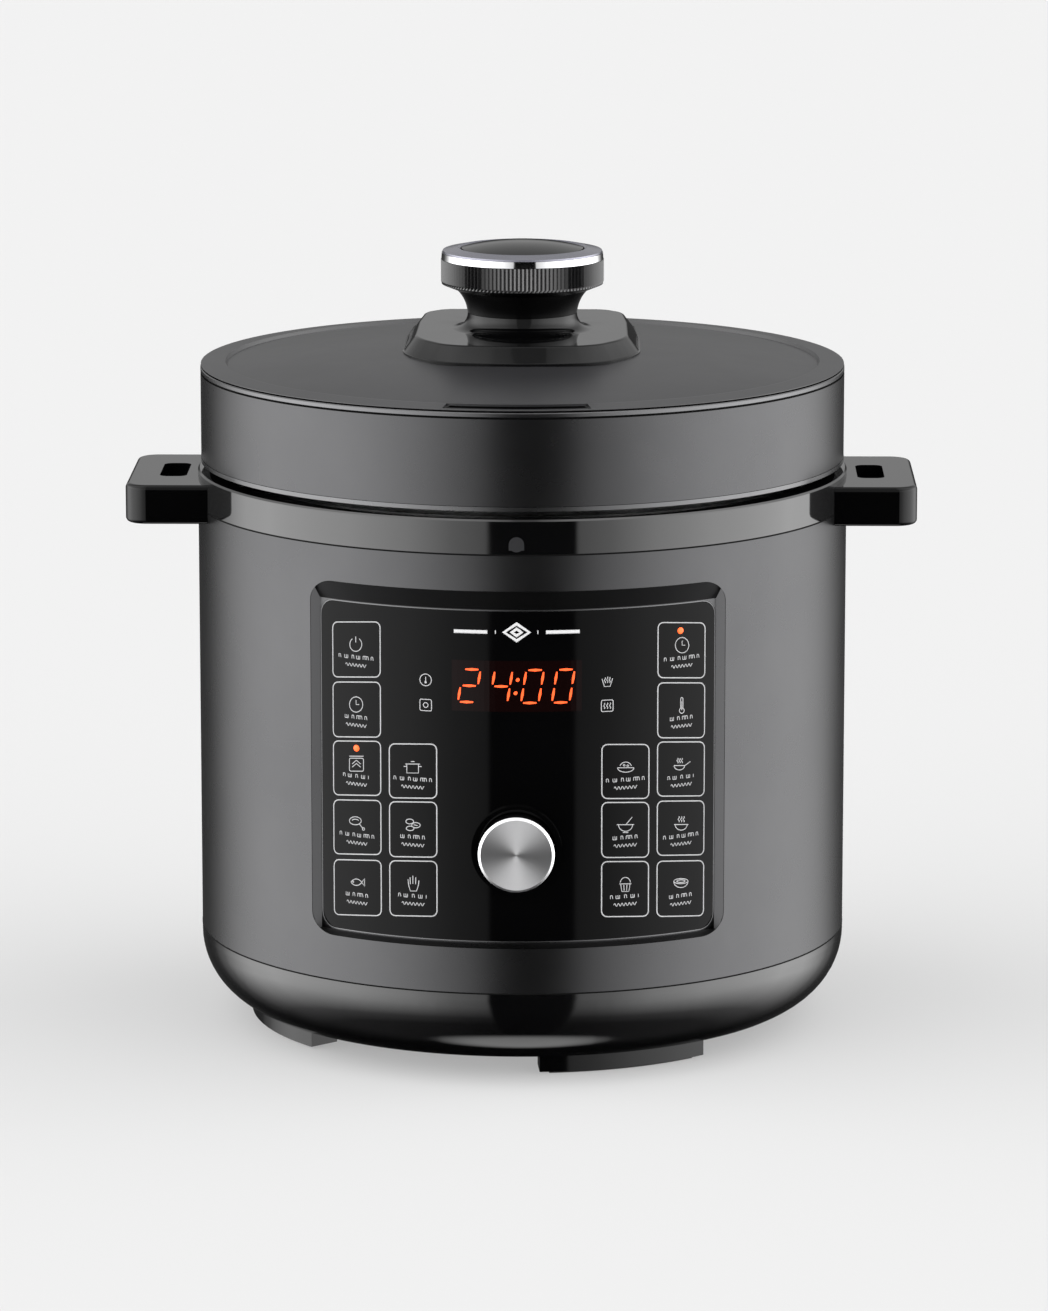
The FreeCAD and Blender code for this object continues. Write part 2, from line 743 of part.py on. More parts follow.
def side_handle(side):
    """Grip with a finger slot, standing out from the ring on one side."""
    top = ring_top - handle_sink
    low = top - handle_height
    outer = body_radius + handle_reach
    grip = block(body_radius - 20.0, outer, -handle_half_length, handle_half_length, low, top)
    upright = [e for e in grip.Edges
               if abs(e.BoundBox.ZLength - handle_height) < 0.01 and e.BoundBox.XMin > body_radius]
    grip = grip.makeFillet(handle_corner, upright)
    rims = [e for e in grip.Edges if e.BoundBox.ZLength < 0.01 and e.BoundBox.XMax > body_radius]
    grip = grip.makeFillet(2.2, rims)
    near = body_radius + slot_root
    slot = rounded_block(near, near + slot_width, -slot_half_length, slot_half_length, low - 1.0,
                         top + 1.0, 4.0, up)
    grip = grip.cut(slot).cut(cylinder(body_radius + 0.02, low - 5.0, top + 5.0))
    screw_z = ring_z + handle_screw_rise
    for y in (-handle_screw_offset, handle_screw_offset):
        x = math.sqrt(body_radius ** 2 - y ** 2)
        grip = grip.cut(cylinder_x(screw_radius, x - 10.0, x + 11.0, y, screw_z))
    if side < 0:
        grip = grip.mirror(origin, point(1, 0, 0))
    return grip


def handle_left():
    return side_handle(-1)


def handle_right():
    return side_handle(1)


def handle_screws():
    screws = []
    screw_z = ring_z + handle_screw_rise
    for y in (-handle_screw_offset, handle_screw_offset):
        x = math.sqrt((body_radius - ring_wall) ** 2 - y ** 2)
        shank = cylinder_x(screw_radius, x - 2.0, x + 12.0, y, screw_z)
        head = cylinder_x(screw_head, x - 2.0 - screw_head_height, x - 2.0, y, screw_z)
        piece = fused([shank, head])
        screws += [piece, piece.mirror(origin, point(1, 0, 0))]
    return screws


def housing_screws():
    """Every screw in the body: feet, pressure frame and handles."""
    return group(foot_screws() + frame_screws() + handle_screws())


def mark_solid(grow):
    """Small arch let into the front of the ring: the lid's lock mark."""
    half = mark_half_width + grow
    low = ring_z + mark_rise
    top_z = low + mark_height
    depth = -body_radius + mark_depth + grow
    body = block(-half, half, -body_radius - 1.0, depth, low - grow, top_z)
    top = cylinder_y(half, -body_radius - 1.0, depth, 0, top_z)
    return body.fuse(top).removeSplitter()


def lock_mark():
    return mark_solid(0.0).common(cylinder(body_radius - 0.05, ring_z, ring_top))


# Inlet and collector

def power_inlet():
    """Rear socket with three flat pins."""
    z = shell_z + inlet_rise
    mouth = body_radius + 1.5
    back = mouth - inlet_depth
    case = block(-inlet_half_width, inlet_half_width, back, mouth, z - inlet_half_height,
                 z + inlet_half_height)
    socket = block(-socket_half_width, socket_half_width, mouth - socket_depth, mouth + 1.0,
                   z - socket_half_height, z + socket_half_height)
    edges = [e for e in socket.Edges if e.BoundBox.YLength > 1.0 and e.BoundBox.ZMax > z]
    case = case.cut(socket.makeChamfer(4.0, edges))
    floor = mouth - socket_depth
    pins = [block(x - 1.0, x + 1.0, floor - 1.0, floor + blade_length, z + dz - 2.0, z + dz + 2.0)
            for x, dz in ((-7.0, -2.0), (0.0, 2.0), (7.0, -2.0))]
    return fused([case] + pins)


def collector_bracket():
    """Plate on the back of the shell whose two rails hold the cup."""
    low = collector_top - collector_height
    half = collector_half_width - 4.0
    plate = block(-half, half, body_radius - 8.0, body_radius + 0.6, low + 6.0, collector_top - 4.0)
    plate = plate.cut(cylinder(body_radius + 0.02, low, collector_top))
    rail = block(half - 4.0, half - 1.0, body_radius - 6.0, body_radius + 2.2, low + 8.0,
                 collector_top - 10.0)
    rail = rail.cut(cylinder(body_radius + 0.02, low, collector_top))
    return fused([plate, rail, rail.mirror(origin, point(1, 0, 0))])


def condensation_cup():
    """Open-topped cup that hangs behind the body and catches drips."""
    low = collector_top - collector_height
    front = body_radius + 0.9
    half = collector_half_width
    cup = rounded_block(-half, half, front, front + collector_depth, low, collector_top, 3.0, up)
    well = block(-half + collector_wall, half - collector_wall, front + 3.4,
                 front + collector_depth - collector_wall, low + collector_wall, collector_top + 1.0)
    inner = half - 4.0
    pocket = block(inner - 4.4, inner - 0.6, front - 1.0, front + 1.7, low + 7.0, collector_top - 9.0)
    return cup.cut(well).cut(pocket).cut(pocket.mirror(origin, point(1, 0, 0)))


# Lid shell

def dome_z(radius):
    return disc_z + dome_rise * (1.0 - (radius / dome_radius) ** 2)


def dome_body(drop, low):
    """Solid under the lid's domed panel, lowered by a wall thickness."""
    half = dome_radius / 2.0
    crown = point(0, 0, crown_z - drop)
    middle = point(half, 0, dome_z(half) - drop)
    edge = point(dome_radius, 0, disc_z - drop)
    corner = point(dome_radius, 0, low)
    centre = point(0, 0, low)
    edges = [arc_edge(crown, middle, edge), line_edge(edge, corner), line_edge(corner, centre),
             line_edge(centre, crown)]
    return Part.Face(Part.Wire(edges)).revolve(origin, up, 360)


def lid_top_cover():
    """Moulded top: sloping rim, lip, domed panel and the bosses that hold the inner lid."""
    outer = lid_radius - seam
    inner = lid_radius - edge_ring_width - seam
    low = rim_z - cover_wall
    panel = dome_body(0.0, low).cut(dome_body(cover_wall, low - 10.0))
    rim = spun([(dome_radius - cover_wall, low), (inner, low), (inner, rim_z - groove),
                (outer, rim_z - seam), (outer, rim_z), (dome_radius + 1.0, lip_z), (dome_radius, lip_z),
                (dome_radius - 1.2, disc_z - 0.1), (dome_radius - cover_wall, disc_z - 0.3)])
    boss = cylinder(boss_radius, inner_lid_top, dome_z(cover_boss_circle) - 1.0, cover_boss_circle, 0)
    boss_hole = cylinder(screw_radius, inner_lid_top - 1.0, inner_lid_top + boss_hole_depth,
                         cover_boss_circle, 0)
    lug_z = lever_level + bracket_rise
    lugs = [cylinder(boss_radius, lug_z, dome_z(bracket_reach) - 1.0, x, pivot_y)
            for x in (-bracket_reach, bracket_reach)]
    cover = fused([panel, rim] + around(boss, boss_count, 30.0) + lugs)
    for hole in around(boss_hole, boss_count, 30.0):
        cover = cover.cut(hole)
    for x, y in bridge_screw_places():
        cover = cover.cut(cylinder(screw_radius + 0.1, low, crown_z + 1.0, x, y))
    for x in (-bracket_reach, bracket_reach):
        cover = cover.cut(cylinder(screw_radius, lug_z - 0.5, lug_z + 3.5, x, pivot_y))
    half, front, back = steam_opening
    cover = cover.cut(block(-half, half, front, back, low - 5.0, crown_z + 1.0))
    return cover.cut(pocket_tool(0.0))


def pocket_tool(inset):
    """Shallow finger pocket in the front of the rim."""
    inner = dome_radius + 0.8 + inset
    outer = lid_radius - 2.6 - inset
    half = math.degrees((pocket_half_width - inset) / lid_radius)
    return sector(inner, outer, rim_z - pocket_depth + inset, lip_z + 5.0, -90.0, half)


def rim_pocket():
    """Gloss insert that lines the pocket."""
    tray = pocket_tool(0.1).common(ring(dome_radius - 10.0, lid_radius, rim_z - 3.0, rim_z + 0.4))
    inner = dome_radius + 2.4
    outer = lid_radius - 4.0
    half = math.degrees((pocket_half_width - 2.0) / lid_radius)
    well = sector(inner, outer, rim_z - 0.9, lip_z + 5.0, -90.0, half)
    return tray.cut(well)


def lid_edge_ring():
    """Narrow bright ring between the side band and the rim."""
    inner = lid_radius - edge_ring_width
    return spun([(inner, edge_z), (lid_radius, edge_z), (lid_radius, edge_z + edge_height - 0.4),
                 (lid_radius - 0.4, edge_z + edge_height), (inner, edge_z + edge_height)])


def lid_side_band():
    return ring(lid_radius - shell_wall, lid_radius, band_z, band_top)


def lid_liner():
    """Moulding behind the metal band, with a flat floor that closes the lid from below."""
    outer = lid_radius - shell_wall - seam
    inner = outer - 2.0
    top = edge_z - 0.1
    floor_top = lid_z + 2.4
    ledge = lid_z + trim_height + 0.1
    return spun([(skirt_outer + 0.6, lid_z), (lid_radius - 4.2, lid_z), (lid_radius - 4.2, ledge),
                 (outer, ledge), (outer, band_top + 0.1), (lid_radius - 1.2, band_top + 0.1),
                 (lid_radius - 1.2, top), (inner, top), (inner, floor_top), (skirt_outer + 0.6, floor_top)])


def lid_trim_ring():
    return ring(lid_radius - 4.0, lid_radius + 0.1, lid_z, lid_z + trim_height)


# Inner lid, seal and valves

def inner_lid():
    """Pressed steel lid: flat top, skirt and the bayonet tabs at its foot."""
    cap = spun([(0, inner_lid_z), (skirt_inner, inner_lid_z), (skirt_inner, skirt_z),
                (skirt_outer, skirt_z), (skirt_outer, inner_lid_top - 0.8),
                (skirt_outer - 0.8, inner_lid_top), (0, inner_lid_top)])
    tab = sector(skirt_outer - 0.5, tab_radius, skirt_z, skirt_z + tab_thickness, 0, tab_half_angle)
    cap = fused([cap] + around(tab, tab_count, 180.0 / tab_count))
    low = inner_lid_z - 1.0
    high = inner_lid_top + 1.0
    holes = around(cylinder(screw_radius + 0.1, low, high, cover_boss_circle, 0), boss_count, 30.0)
    holes.append(cylinder(pipe_radius, low, high, 0, valve_y))
    holes.append(cylinder(float_radius + 0.4, low, high, float_x, float_y))
    for hole in holes:
        cap = cap.cut(hole)
    return cap


def sealing_ring():
    """Silicone ring: thick crown under the inner lid and a lip on the pot's rim."""
    outer = skirt_inner - clearance
    inner = pot_radius + 0.2
    low = pot_rim_z + 0.1
    high = inner_lid_z - clearance
    return spun([(inner, low + 7.0), (inner + 3.0, low), (rim_radius - 1.0, low), (rim_radius, low + 1.2),
                 (inner + 5.0, low + 4.0), (inner + 4.0, low + 6.5), (outer, low + 6.5), (outer, high),
                 (inner, high)])


def seal_rack():
    """Wire-edged holder inside the sealing ring, hung from the inner lid."""
    outer = pot_radius + 0.2 - clearance
    hoop = ring(outer - 1.2, outer, inner_lid_z - 11.0, inner_lid_z - 6.0)
    strap = sector(outer - 1.2, outer - 0.2, inner_lid_z - 7.0, inner_lid_z, 0, 3.0)
    return fused([hoop] + around(strap, tab_count))


def inner_lid_screws():
    return around(screw(cover_boss_circle, 0, inner_lid_z + 16.0, inner_lid_z), boss_count, 30.0)


def steam_pipe():
    """Threaded pipe through the inner lid, with a nut on each side."""
    low = inner_lid_z - pipe_tail
    high = inner_lid_top + pipe_height
    pipe = cylinder(pipe_radius, low, high, 0, valve_y)
    nut = cylinder(7.5, inner_lid_top, inner_lid_top + 4.0, 0, valve_y)
    nut_below = cylinder(7.0, inner_lid_z - 3.0, inner_lid_z, 0, valve_y)
    return fused([pipe, nut, nut_below]).cut(cylinder(pipe_bore, low - 1.0, high + 1.0, 0, valve_y))


def release_weight():
    """Cap that sits on the steam pipe, with a neck and head for the lever's fork."""
    seat = inner_lid_top + pipe_height
    head_z = lever_level + clearance
    skirt = cylinder(weight_radius, inner_lid_top + 10.0, seat + 5.0, 0, valve_y)
    skirt = skirt.cut(cylinder(weight_skirt_bore, inner_lid_top + 9.0, seat, 0, valve_y))
    neck = cylinder(neck_of_weight, seat + 5.0, head_z, 0, valve_y)
    head = cylinder(weight_head, head_z, lever_level + 4.5, 0, valve_y)
    return fused([skirt, neck, head])


def release_lever():
    """Rocking lever: a nose under the push rod and a fork under the weight's head."""
    low = lever_level - lever_thickness
    arm = block(-lever_half_width, lever_half_width, -lever_nose, pivot_y + 6.0, low, lever_level)
    tine = block(neck_of_weight + 1.0, lever_half_width, pivot_y + 5.0, valve_y, low, lever_level)
    hub = cylinder_x(3.2, -lever_half_width, lever_half_width, pivot_y, pivot_z)
    lever = fused([arm, tine, tine.mirror(origin, point(1, 0, 0)), hub])
    return lever.cut(cylinder_x(pin_radius + shaft_clearance, -30.0, 30.0, pivot_y, pivot_z))


def lever_pin():
    return cylinder_x(pin_radius, -pin_half_length, pin_half_length, pivot_y, pivot_z)


def lever_bracket():
    """Bridge across the opening in the cover, with two ears for the lever's pin."""
    top = lever_level + bracket_rise
    plate = block(-bracket_half_length, bracket_half_length, pivot_y - bracket_half_width,
                  pivot_y + bracket_half_width, top - bracket_plate, top)
    ear = block(lever_half_width + 1.0, lever_half_width + 3.5, pivot_y - 5.0, pivot_y + 5.0,
                lever_level - 5.5, top - 1.0)
    bracket = fused([plate, ear, ear.mirror(origin, point(1, 0, 0))])
    for x in (-bracket_reach, bracket_reach):
        bracket = bracket.cut(cylinder(screw_radius, top - 3.0, top + 1.0, x, pivot_y))
    return bracket.cut(cylinder_x(pin_radius, -30.0, 30.0, pivot_y, pivot_z))


def bracket_screws():
    top = lever_level + bracket_rise
    return [screw(x, pivot_y, top + 3.2, top - bracket_plate) for x in (-bracket_reach, bracket_reach)]


def float_valve():
    """Pin that rises with the pressure and shows that the pot must stay shut."""
    head = cylinder(5.0, inner_lid_top, inner_lid_top + 2.0, float_x, float_y)
    pin = cylinder(float_radius, inner_lid_z - float_travel - 3.0, inner_lid_top + 10.0, float_x, float_y)
    return head.fuse(pin)


def float_gasket():
    top = inner_lid_z - float_travel - 0.1
    disc = cylinder(4.6, top - 2.0, top, float_x, float_y)
    return disc.cut(cylinder(float_radius, top - 3.0, top + 1.0, float_x, float_y))


def steam_filter():
    """Slotted steel cap that keeps food out of the steam pipe."""
    low = inner_lid_z - filter_height
    inside = cylinder(filter_radius - 0.8, low + 0.8, inner_lid_z, 0, valve_y)
    cup = cylinder(filter_radius, low, inner_lid_z - seam, 0, valve_y).cut(inside)
    clip = cylinder(filter_radius - 0.6, inner_lid_z - 2.4, inner_lid_z - 1.6, 0, valve_y)
    cup = cup.fuse(clip.cut(cylinder(7.1, inner_lid_z - 5.0, inner_lid_z, 0, valve_y)))
    for k in range(filter_slits):
        slit = block(-15.0, 15.0, valve_y - 0.8, valve_y + 0.8, low + 2.4, low + 5.2)
        slit.rotate(point(0, valve_y, 0), up, 180.0 / filter_slits * k)
        cup = cup.cut(slit)
    return cup


# Knob and its base

def bridge_outline(level, inset, shrink_back):
    """Closed outline of the knob's base: bowed front, canted corners and straight sides."""
    w = bridge_half_width - inset * 0.8
    corner_x = bridge_half_width * 0.665 - inset * 0.92
    front = -bridge_front + inset * 1.08
    corner_y = -bridge_front + 5.0 + inset * 2.1
    side_y = -24.0 + inset * 1.2
    back_x = bridge_half_width - 4.7 - inset * 0.7
    back = bridge_back - shrink_back
    a = point(-corner_x, corner_y, level)
    b = point(corner_x, corner_y, level)
    middle = point(0, front, level)
    c = point(w, side_y, level)
    d = point(back_x, back - 8.0, level)
    e = point(back_x - 8.0, back, level)
    right = [c, d, e]
    left = [point(-p.x, p.y, p.z) for p in reversed(right)]
    corners = [b] + right + left + [a]
    edges = [line_edge(p, q) for p, q in zip(corners[:-1], corners[1:])]
    return Part.Wire([arc_edge(a, middle, b)] + edges)


def bridge_body(inset, low, high, slope):
    lower = bridge_outline(low, inset, inset)
    upper = bridge_outline(high, inset + slope, inset + slope)
    return Part.makeLoft([lower, upper], True, True)


def bridge_screw_places():
    front_x, front_y = bridge_screw_front
    back_x, back_inset = bridge_screw_back
    back_y = bridge_back - back_inset
    return ((-front_x, front_y), (front_x, front_y), (-back_x, back_y), (back_x, back_y))


def knob_base():
    """Raised base across the lid's crown, hollow, with a flared collar for the knob."""
    low = dome_z(bridge_back) - 1.0
    body = bridge_body(0.0, low, bridge_z, bridge_taper)
    hollow = bridge_body(bridge_wall, low - 1.0, bridge_z - bridge_wall, bridge_taper)
    flare = collar_flare()
    shell = body.cut(hollow).fuse(flare)
    bosses = [cylinder(boss_radius - 0.5, low, bridge_z - 1.0, x, y) for x, y in bridge_screw_places()]
    shell = fused([shell] + bosses)
    shell = shell.cut(dome_body(-0.05, low - 30.0))
    shell = shell.cut(cylinder(rod_radius + 0.8, low, collar_z + 1.0))
    for x, y in bridge_screw_places():
        shell = shell.cut(cylinder(screw_radius, low - 5.0, bridge_z - 1.8, x, y))
    knob_hole = cylinder(screw_radius + 0.1, low, collar_z + 1.0, knob_screw_circle, 0)
    for hole in around(knob_hole, knob_screw_count, 90.0):
        shell = shell.cut(hole)
    for k in range(-2, 3):
        x = steam_slot_pitch * k
        gap = block(x - steam_slot_half, x + steam_slot_half, bridge_back - 14.0, bridge_back + 2.0,
                    dome_z(bridge_back) + 1.4, bridge_z - bridge_wall - 1.0)
        shell = shell.cut(gap)
    return shell


def collar_flare():
    """Solid of revolution with a hollow-curved side, from the base's top up to the neck."""
    foot = point(collar_radius, 0, bridge_z)
    top = point(neck_radius, 0, collar_z)
    spread = collar_radius - neck_radius
    middle = point(neck_radius + spread * 0.24, 0, bridge_z + collar_height * 0.32)
    inner_r = rod_radius + 0.8
    low = bridge_z - bridge_wall
    inner_top = point(inner_r, 0, collar_z)
    inner_low = point(inner_r, 0, low)
    outer_low = point(collar_radius, 0, low)
    edges = [line_edge(inner_low, outer_low), line_edge(outer_low, foot), arc_edge(foot, middle, top),
             line_edge(top, inner_top), line_edge(inner_top, inner_low)]
    return Part.Face(Part.Wire(edges)).revolve(origin, up, 360)


def bridge_screws():
    screws = []
    for x, y in bridge_screw_places():
        seat = dome_z(math.hypot(x, y)) - cover_wall - 0.8
        screws.append(screw(x, y, bridge_z - 2.0, seat))
    return screws


def knob_body():
    """Turned knob: hollow-sided neck, flared shoulder and the well for the button."""
    neck_foot = point(neck_radius + 0.1, 0, knob_z)
    shoulder = point(knob_under_radius, 0, knob_z + neck_height)
    middle = point(neck_radius + 1.7, 0, knob_z + neck_height * 0.55)
    core = knob_radius - grip_depth
    well = button_radius + 0.6
    bore = button_stem + 0.4
    points = [shoulder, point(knob_radius - 0.3, 0, grip_z), point(core, 0, grip_z + 0.01),
              point(core, 0, chrome_z), point(core - 2.0, 0, chrome_z),
              point(core - 2.0, 0, crown_ring_z - 0.1),
              point(well, 0, crown_ring_z - 0.1), point(well, 0, shelf_z), point(bore, 0, shelf_z),
              point(bore, 0, knob_z)]
    edges = [arc_edge(neck_foot, middle, shoulder)]
    edges += [line_edge(p, q) for p, q in zip(points[:-1], points[1:])]
    edges.append(line_edge(points[-1], neck_foot))
    body = Part.Face(Part.Wire(edges)).revolve(origin, up, 360)
    screw_hole = cylinder(screw_radius, knob_z - 1.0, knob_z + 10.0, knob_screw_circle, 0)
    for hole in around(screw_hole, knob_screw_count, 90.0):
        body = body.cut(hole)
    return body


def knob_screws():
    piece = screw(knob_screw_circle, 0, knob_z + 8.0, bridge_z - bridge_wall)
    return around(piece, knob_screw_count, 90.0)


def lid_screws():
    """Every screw in the lid: inner lid, lever bracket, knob base and knob."""
    return group(inner_lid_screws() + bracket_screws() + bridge_screws() + knob_screws())


def knob_grip():
    return ring(knob_radius - grip_depth + 0.05, knob_radius, grip_z + 0.1, chrome_z - 0.1)


def knob_chrome_ring():
    inner = knob_radius - grip_depth - 1.9
    return spun([(inner, chrome_z), (knob_radius - 0.2, chrome_z), (knob_radius - 0.4, crown_ring_z - 0.1),
                 (inner, crown_ring_z - 0.1)])


def knob_crown():
    """Top ring of the knob, sloping gently up to the button."""
    inner = button_radius + 0.6
    return spun([(inner, crown_ring_z), (knob_radius - 0.6, crown_ring_z),
                 (knob_radius - 0.9, crown_ring_z + 0.8),
                 (inner + 1.2, knob_top), (inner, knob_top - 0.6)])


def release_button():
    """Domed button that fills the top of the knob."""
    r = button_radius
    edge_z = knob_top - 0.4
    crown = point(0, 0, edge_z + button_dome)
    middle = point(r * 0.55, 0, edge_z + button_dome * 0.72)
    edge = point(r, 0, edge_z)
    corners = [edge, point(r, 0, button_z), point(0, 0, button_z)]
    edges = [arc_edge(crown, middle, edge), line_edge(corners[0], corners[1]),
             line_edge(corners[1], corners[2]), line_edge(corners[2], crown)]
    cap = Part.Face(Part.Wire(edges)).revolve(origin, up, 360)
    stem = cylinder(button_stem, shelf_z - 8.0, button_z + 0.5)
    return cap.fuse(stem).cut(cylinder(rod_radius, shelf_z - 9.0, button_z - 1.0)).removeSplitter()


def push_rod():
    low = lever_level + clearance + rod_radius
    rod = cylinder(rod_radius, low, button_z - 1.0)
    return rod.fuse(Part.makeSphere(rod_radius, point(0, 0, low)))


def button_spring():
    return coil_spring(button_spring_radius, button_spring_wire, shelf_z + 0.1, button_z - 0.1,
                       button_spring_turns)


parts = {
    "base_housing": base_housing,
    "feet": feet,
    "foot_pads": foot_pads,
    "housing_screws": housing_screws,
    "pressure_frame": pressure_frame,
    "heat_reflector": heat_reflector,
    "heating_plate": heating_plate,
    "heating_element": heating_element,
    "sensor_bracket": sensor_bracket,
    "sensor_spring": sensor_spring,
    "temperature_sensor": temperature_sensor,
    "thermal_fuse": thermal_fuse,
    "pressure_switch": pressure_switch,
    "power_board": power_board,
    "power_inlet": power_inlet,
    "outer_shell": outer_shell,
    "panel_bezel": panel_bezel,
    "control_panel": control_panel,
    "touch_film": touch_film,
    "indicator_leds": indicator_leds,
    "display_module": display_module,
    "control_board": control_board,
    "dial_encoder": dial_encoder,
    "dial_bezel": dial_bezel,
    "dial_shaft": dial_shaft,
    "dial_knob": dial_knob,
    "dial_cap": dial_cap,
    "handle_ring": handle_ring,
    "handle_left": handle_left,
    "handle_right": handle_right,
    "lock_mark": lock_mark,
    "collector_bracket": collector_bracket,
    "condensation_cup": condensation_cup,
    "inner_pot": inner_pot,
    "sealing_ring": sealing_ring,
    "inner_lid": inner_lid,
    "seal_rack": seal_rack,
    "steam_pipe": steam_pipe,
    "steam_filter": steam_filter,
    "release_weight": release_weight,
    "release_lever": release_lever,
    "lever_pin": lever_pin,
    "lever_bracket": lever_bracket,
    "float_valve": float_valve,
    "float_gasket": float_gasket,
    "lid_liner": lid_liner,
    "lid_trim_ring": lid_trim_ring,
    "lid_screws": lid_screws,
    "lid_side_band": lid_side_band,
    "lid_edge_ring": lid_edge_ring,
    "lid_top_cover": lid_top_cover,
    "rim_pocket": rim_pocket,
    "knob_base": knob_base,
    "knob_body": knob_body,
    "knob_grip": knob_grip,
    "knob_chrome_ring": knob_chrome_ring,
    "knob_crown": knob_crown,
    "release_button": release_button,
    "push_rod": push_rod,
    "button_spring": button_spring,
}

for name, make in parts.items():
    shape = make()
    shape.exportStep("parts/" + name + ".step")
    print(name, len(shape.Solids), round(shape.Volume, 1), shape.isValid())
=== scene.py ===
import bpy
import bmesh
import json
import math
from mathutils import Matrix, Vector


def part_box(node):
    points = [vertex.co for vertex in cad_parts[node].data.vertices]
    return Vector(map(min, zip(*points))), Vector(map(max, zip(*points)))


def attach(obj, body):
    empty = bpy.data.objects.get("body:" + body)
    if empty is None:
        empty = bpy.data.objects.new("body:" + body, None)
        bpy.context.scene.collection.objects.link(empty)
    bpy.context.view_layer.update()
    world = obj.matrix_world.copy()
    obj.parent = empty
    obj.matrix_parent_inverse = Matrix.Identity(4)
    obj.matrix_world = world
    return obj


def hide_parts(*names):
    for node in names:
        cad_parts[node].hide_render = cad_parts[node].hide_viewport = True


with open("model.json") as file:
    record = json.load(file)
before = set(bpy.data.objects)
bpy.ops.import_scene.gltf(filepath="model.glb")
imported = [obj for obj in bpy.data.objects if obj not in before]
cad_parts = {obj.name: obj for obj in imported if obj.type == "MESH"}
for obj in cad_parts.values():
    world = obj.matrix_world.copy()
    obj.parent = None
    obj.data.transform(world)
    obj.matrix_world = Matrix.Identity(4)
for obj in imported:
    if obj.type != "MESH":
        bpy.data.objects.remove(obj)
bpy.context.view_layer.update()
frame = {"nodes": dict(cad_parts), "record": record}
nodes = frame["nodes"]
print("cooker frame loaded,", len(nodes), "nodes")

mm = 0.001


def startGroup(name, inputs, outputs):
    group = bpy.data.node_groups.new(name, "ShaderNodeTree")
    for label, kind, value in inputs:
        socket = group.interface.new_socket(name=label, in_out="INPUT", socket_type=kind)
        if value is not None:
            socket.default_value = value
    for label, kind in outputs:
        group.interface.new_socket(name=label, in_out="OUTPUT", socket_type=kind)
    start = group.nodes.new("NodeGroupInput")
    end = group.nodes.new("NodeGroupOutput")
    return group, start, end


def addNode(tree, kind, **settings):
    node = tree.nodes.new(kind)
    for key, value in settings.items():
        setattr(node, key, value)
    return node


def wire(tree, source, target):
    tree.links.new(source, target)


def setInputs(node, **values):
    # a name such as FromMin sets the input From Min
    for key, value in values.items():
        label = "".join(" " + c if c.isupper() else c for c in key).strip()
        node.inputs[label].default_value = value


def softWearGroup():
    # cloudy handling marks: a value that wanders between Low and High
    group, start, end = startGroup(
        "softWear",
        [("Vector", "NodeSocketVector", None), ("Scale", "NodeSocketFloat", 20.0),
         ("Low", "NodeSocketFloat", 0.1), ("High", "NodeSocketFloat", 0.2)],
        [("Value", "NodeSocketFloat"), ("Mask", "NodeSocketFloat")])
    cloud = addNode(group, "ShaderNodeTexNoise")
    setInputs(cloud, Detail=5.0, Roughness=0.62)
    spread = addNode(group, "ShaderNodeMapRange")
    setInputs(spread, FromMin=0.3, FromMax=0.7)
    scaled = addNode(group, "ShaderNodeMapRange")
    wire(group, start.outputs["Vector"], cloud.inputs["Vector"])
    wire(group, start.outputs["Scale"], cloud.inputs["Scale"])
    wire(group, cloud.outputs["Fac"], spread.inputs["Value"])
    wire(group, spread.outputs["Result"], scaled.inputs["Value"])
    wire(group, start.outputs["Low"], scaled.inputs["To Min"])
    wire(group, start.outputs["High"], scaled.inputs["To Max"])
    wire(group, scaled.outputs["Result"], end.inputs["Value"])
    wire(group, spread.outputs["Result"], end.inputs["Mask"])
    return group


def fineGrainGroup():
    # close, even grain for lacquer and moulded plastic
    group, start, end = startGroup(
        "fineGrain",
        [("Vector", "NodeSocketVector", None), ("Scale", "NodeSocketFloat", 900.0)],
        [("Height", "NodeSocketFloat")])
    grain = addNode(group, "ShaderNodeTexNoise")
    setInputs(grain, Detail=2.0)
    wire(group, start.outputs["Vector"], grain.inputs["Vector"])
    wire(group, start.outputs["Scale"], grain.inputs["Scale"])
    wire(group, grain.outputs["Fac"], end.inputs["Height"])
    return group


def turnedLinesGroup():
    # rings around Z, as a tool leaves them on a turned face
    group, start, end = startGroup(
        "turnedLines",
        [("Vector", "NodeSocketVector", None), ("Scale", "NodeSocketFloat", 2000.0)],
        [("Height", "NodeSocketFloat")])
    apart = addNode(group, "ShaderNodeSeparateXYZ")
    flat = addNode(group, "ShaderNodeCombineXYZ")
    reach = addNode(group, "ShaderNodeVectorMath", operation="LENGTH")
    lines = addNode(group, "ShaderNodeTexNoise", noise_dimensions="1D")
    setInputs(lines, Detail=3.0)
    wire(group, start.outputs["Vector"], apart.inputs[0])
    wire(group, apart.outputs["X"], flat.inputs["X"])
    wire(group, apart.outputs["Y"], flat.inputs["Y"])
    wire(group, flat.outputs[0], reach.inputs[0])
    wire(group, reach.outputs["Value"], lines.inputs["W"])
    wire(group, start.outputs["Scale"], lines.inputs["Scale"])
    wire(group, lines.outputs["Fac"], end.inputs["Height"])
    return group


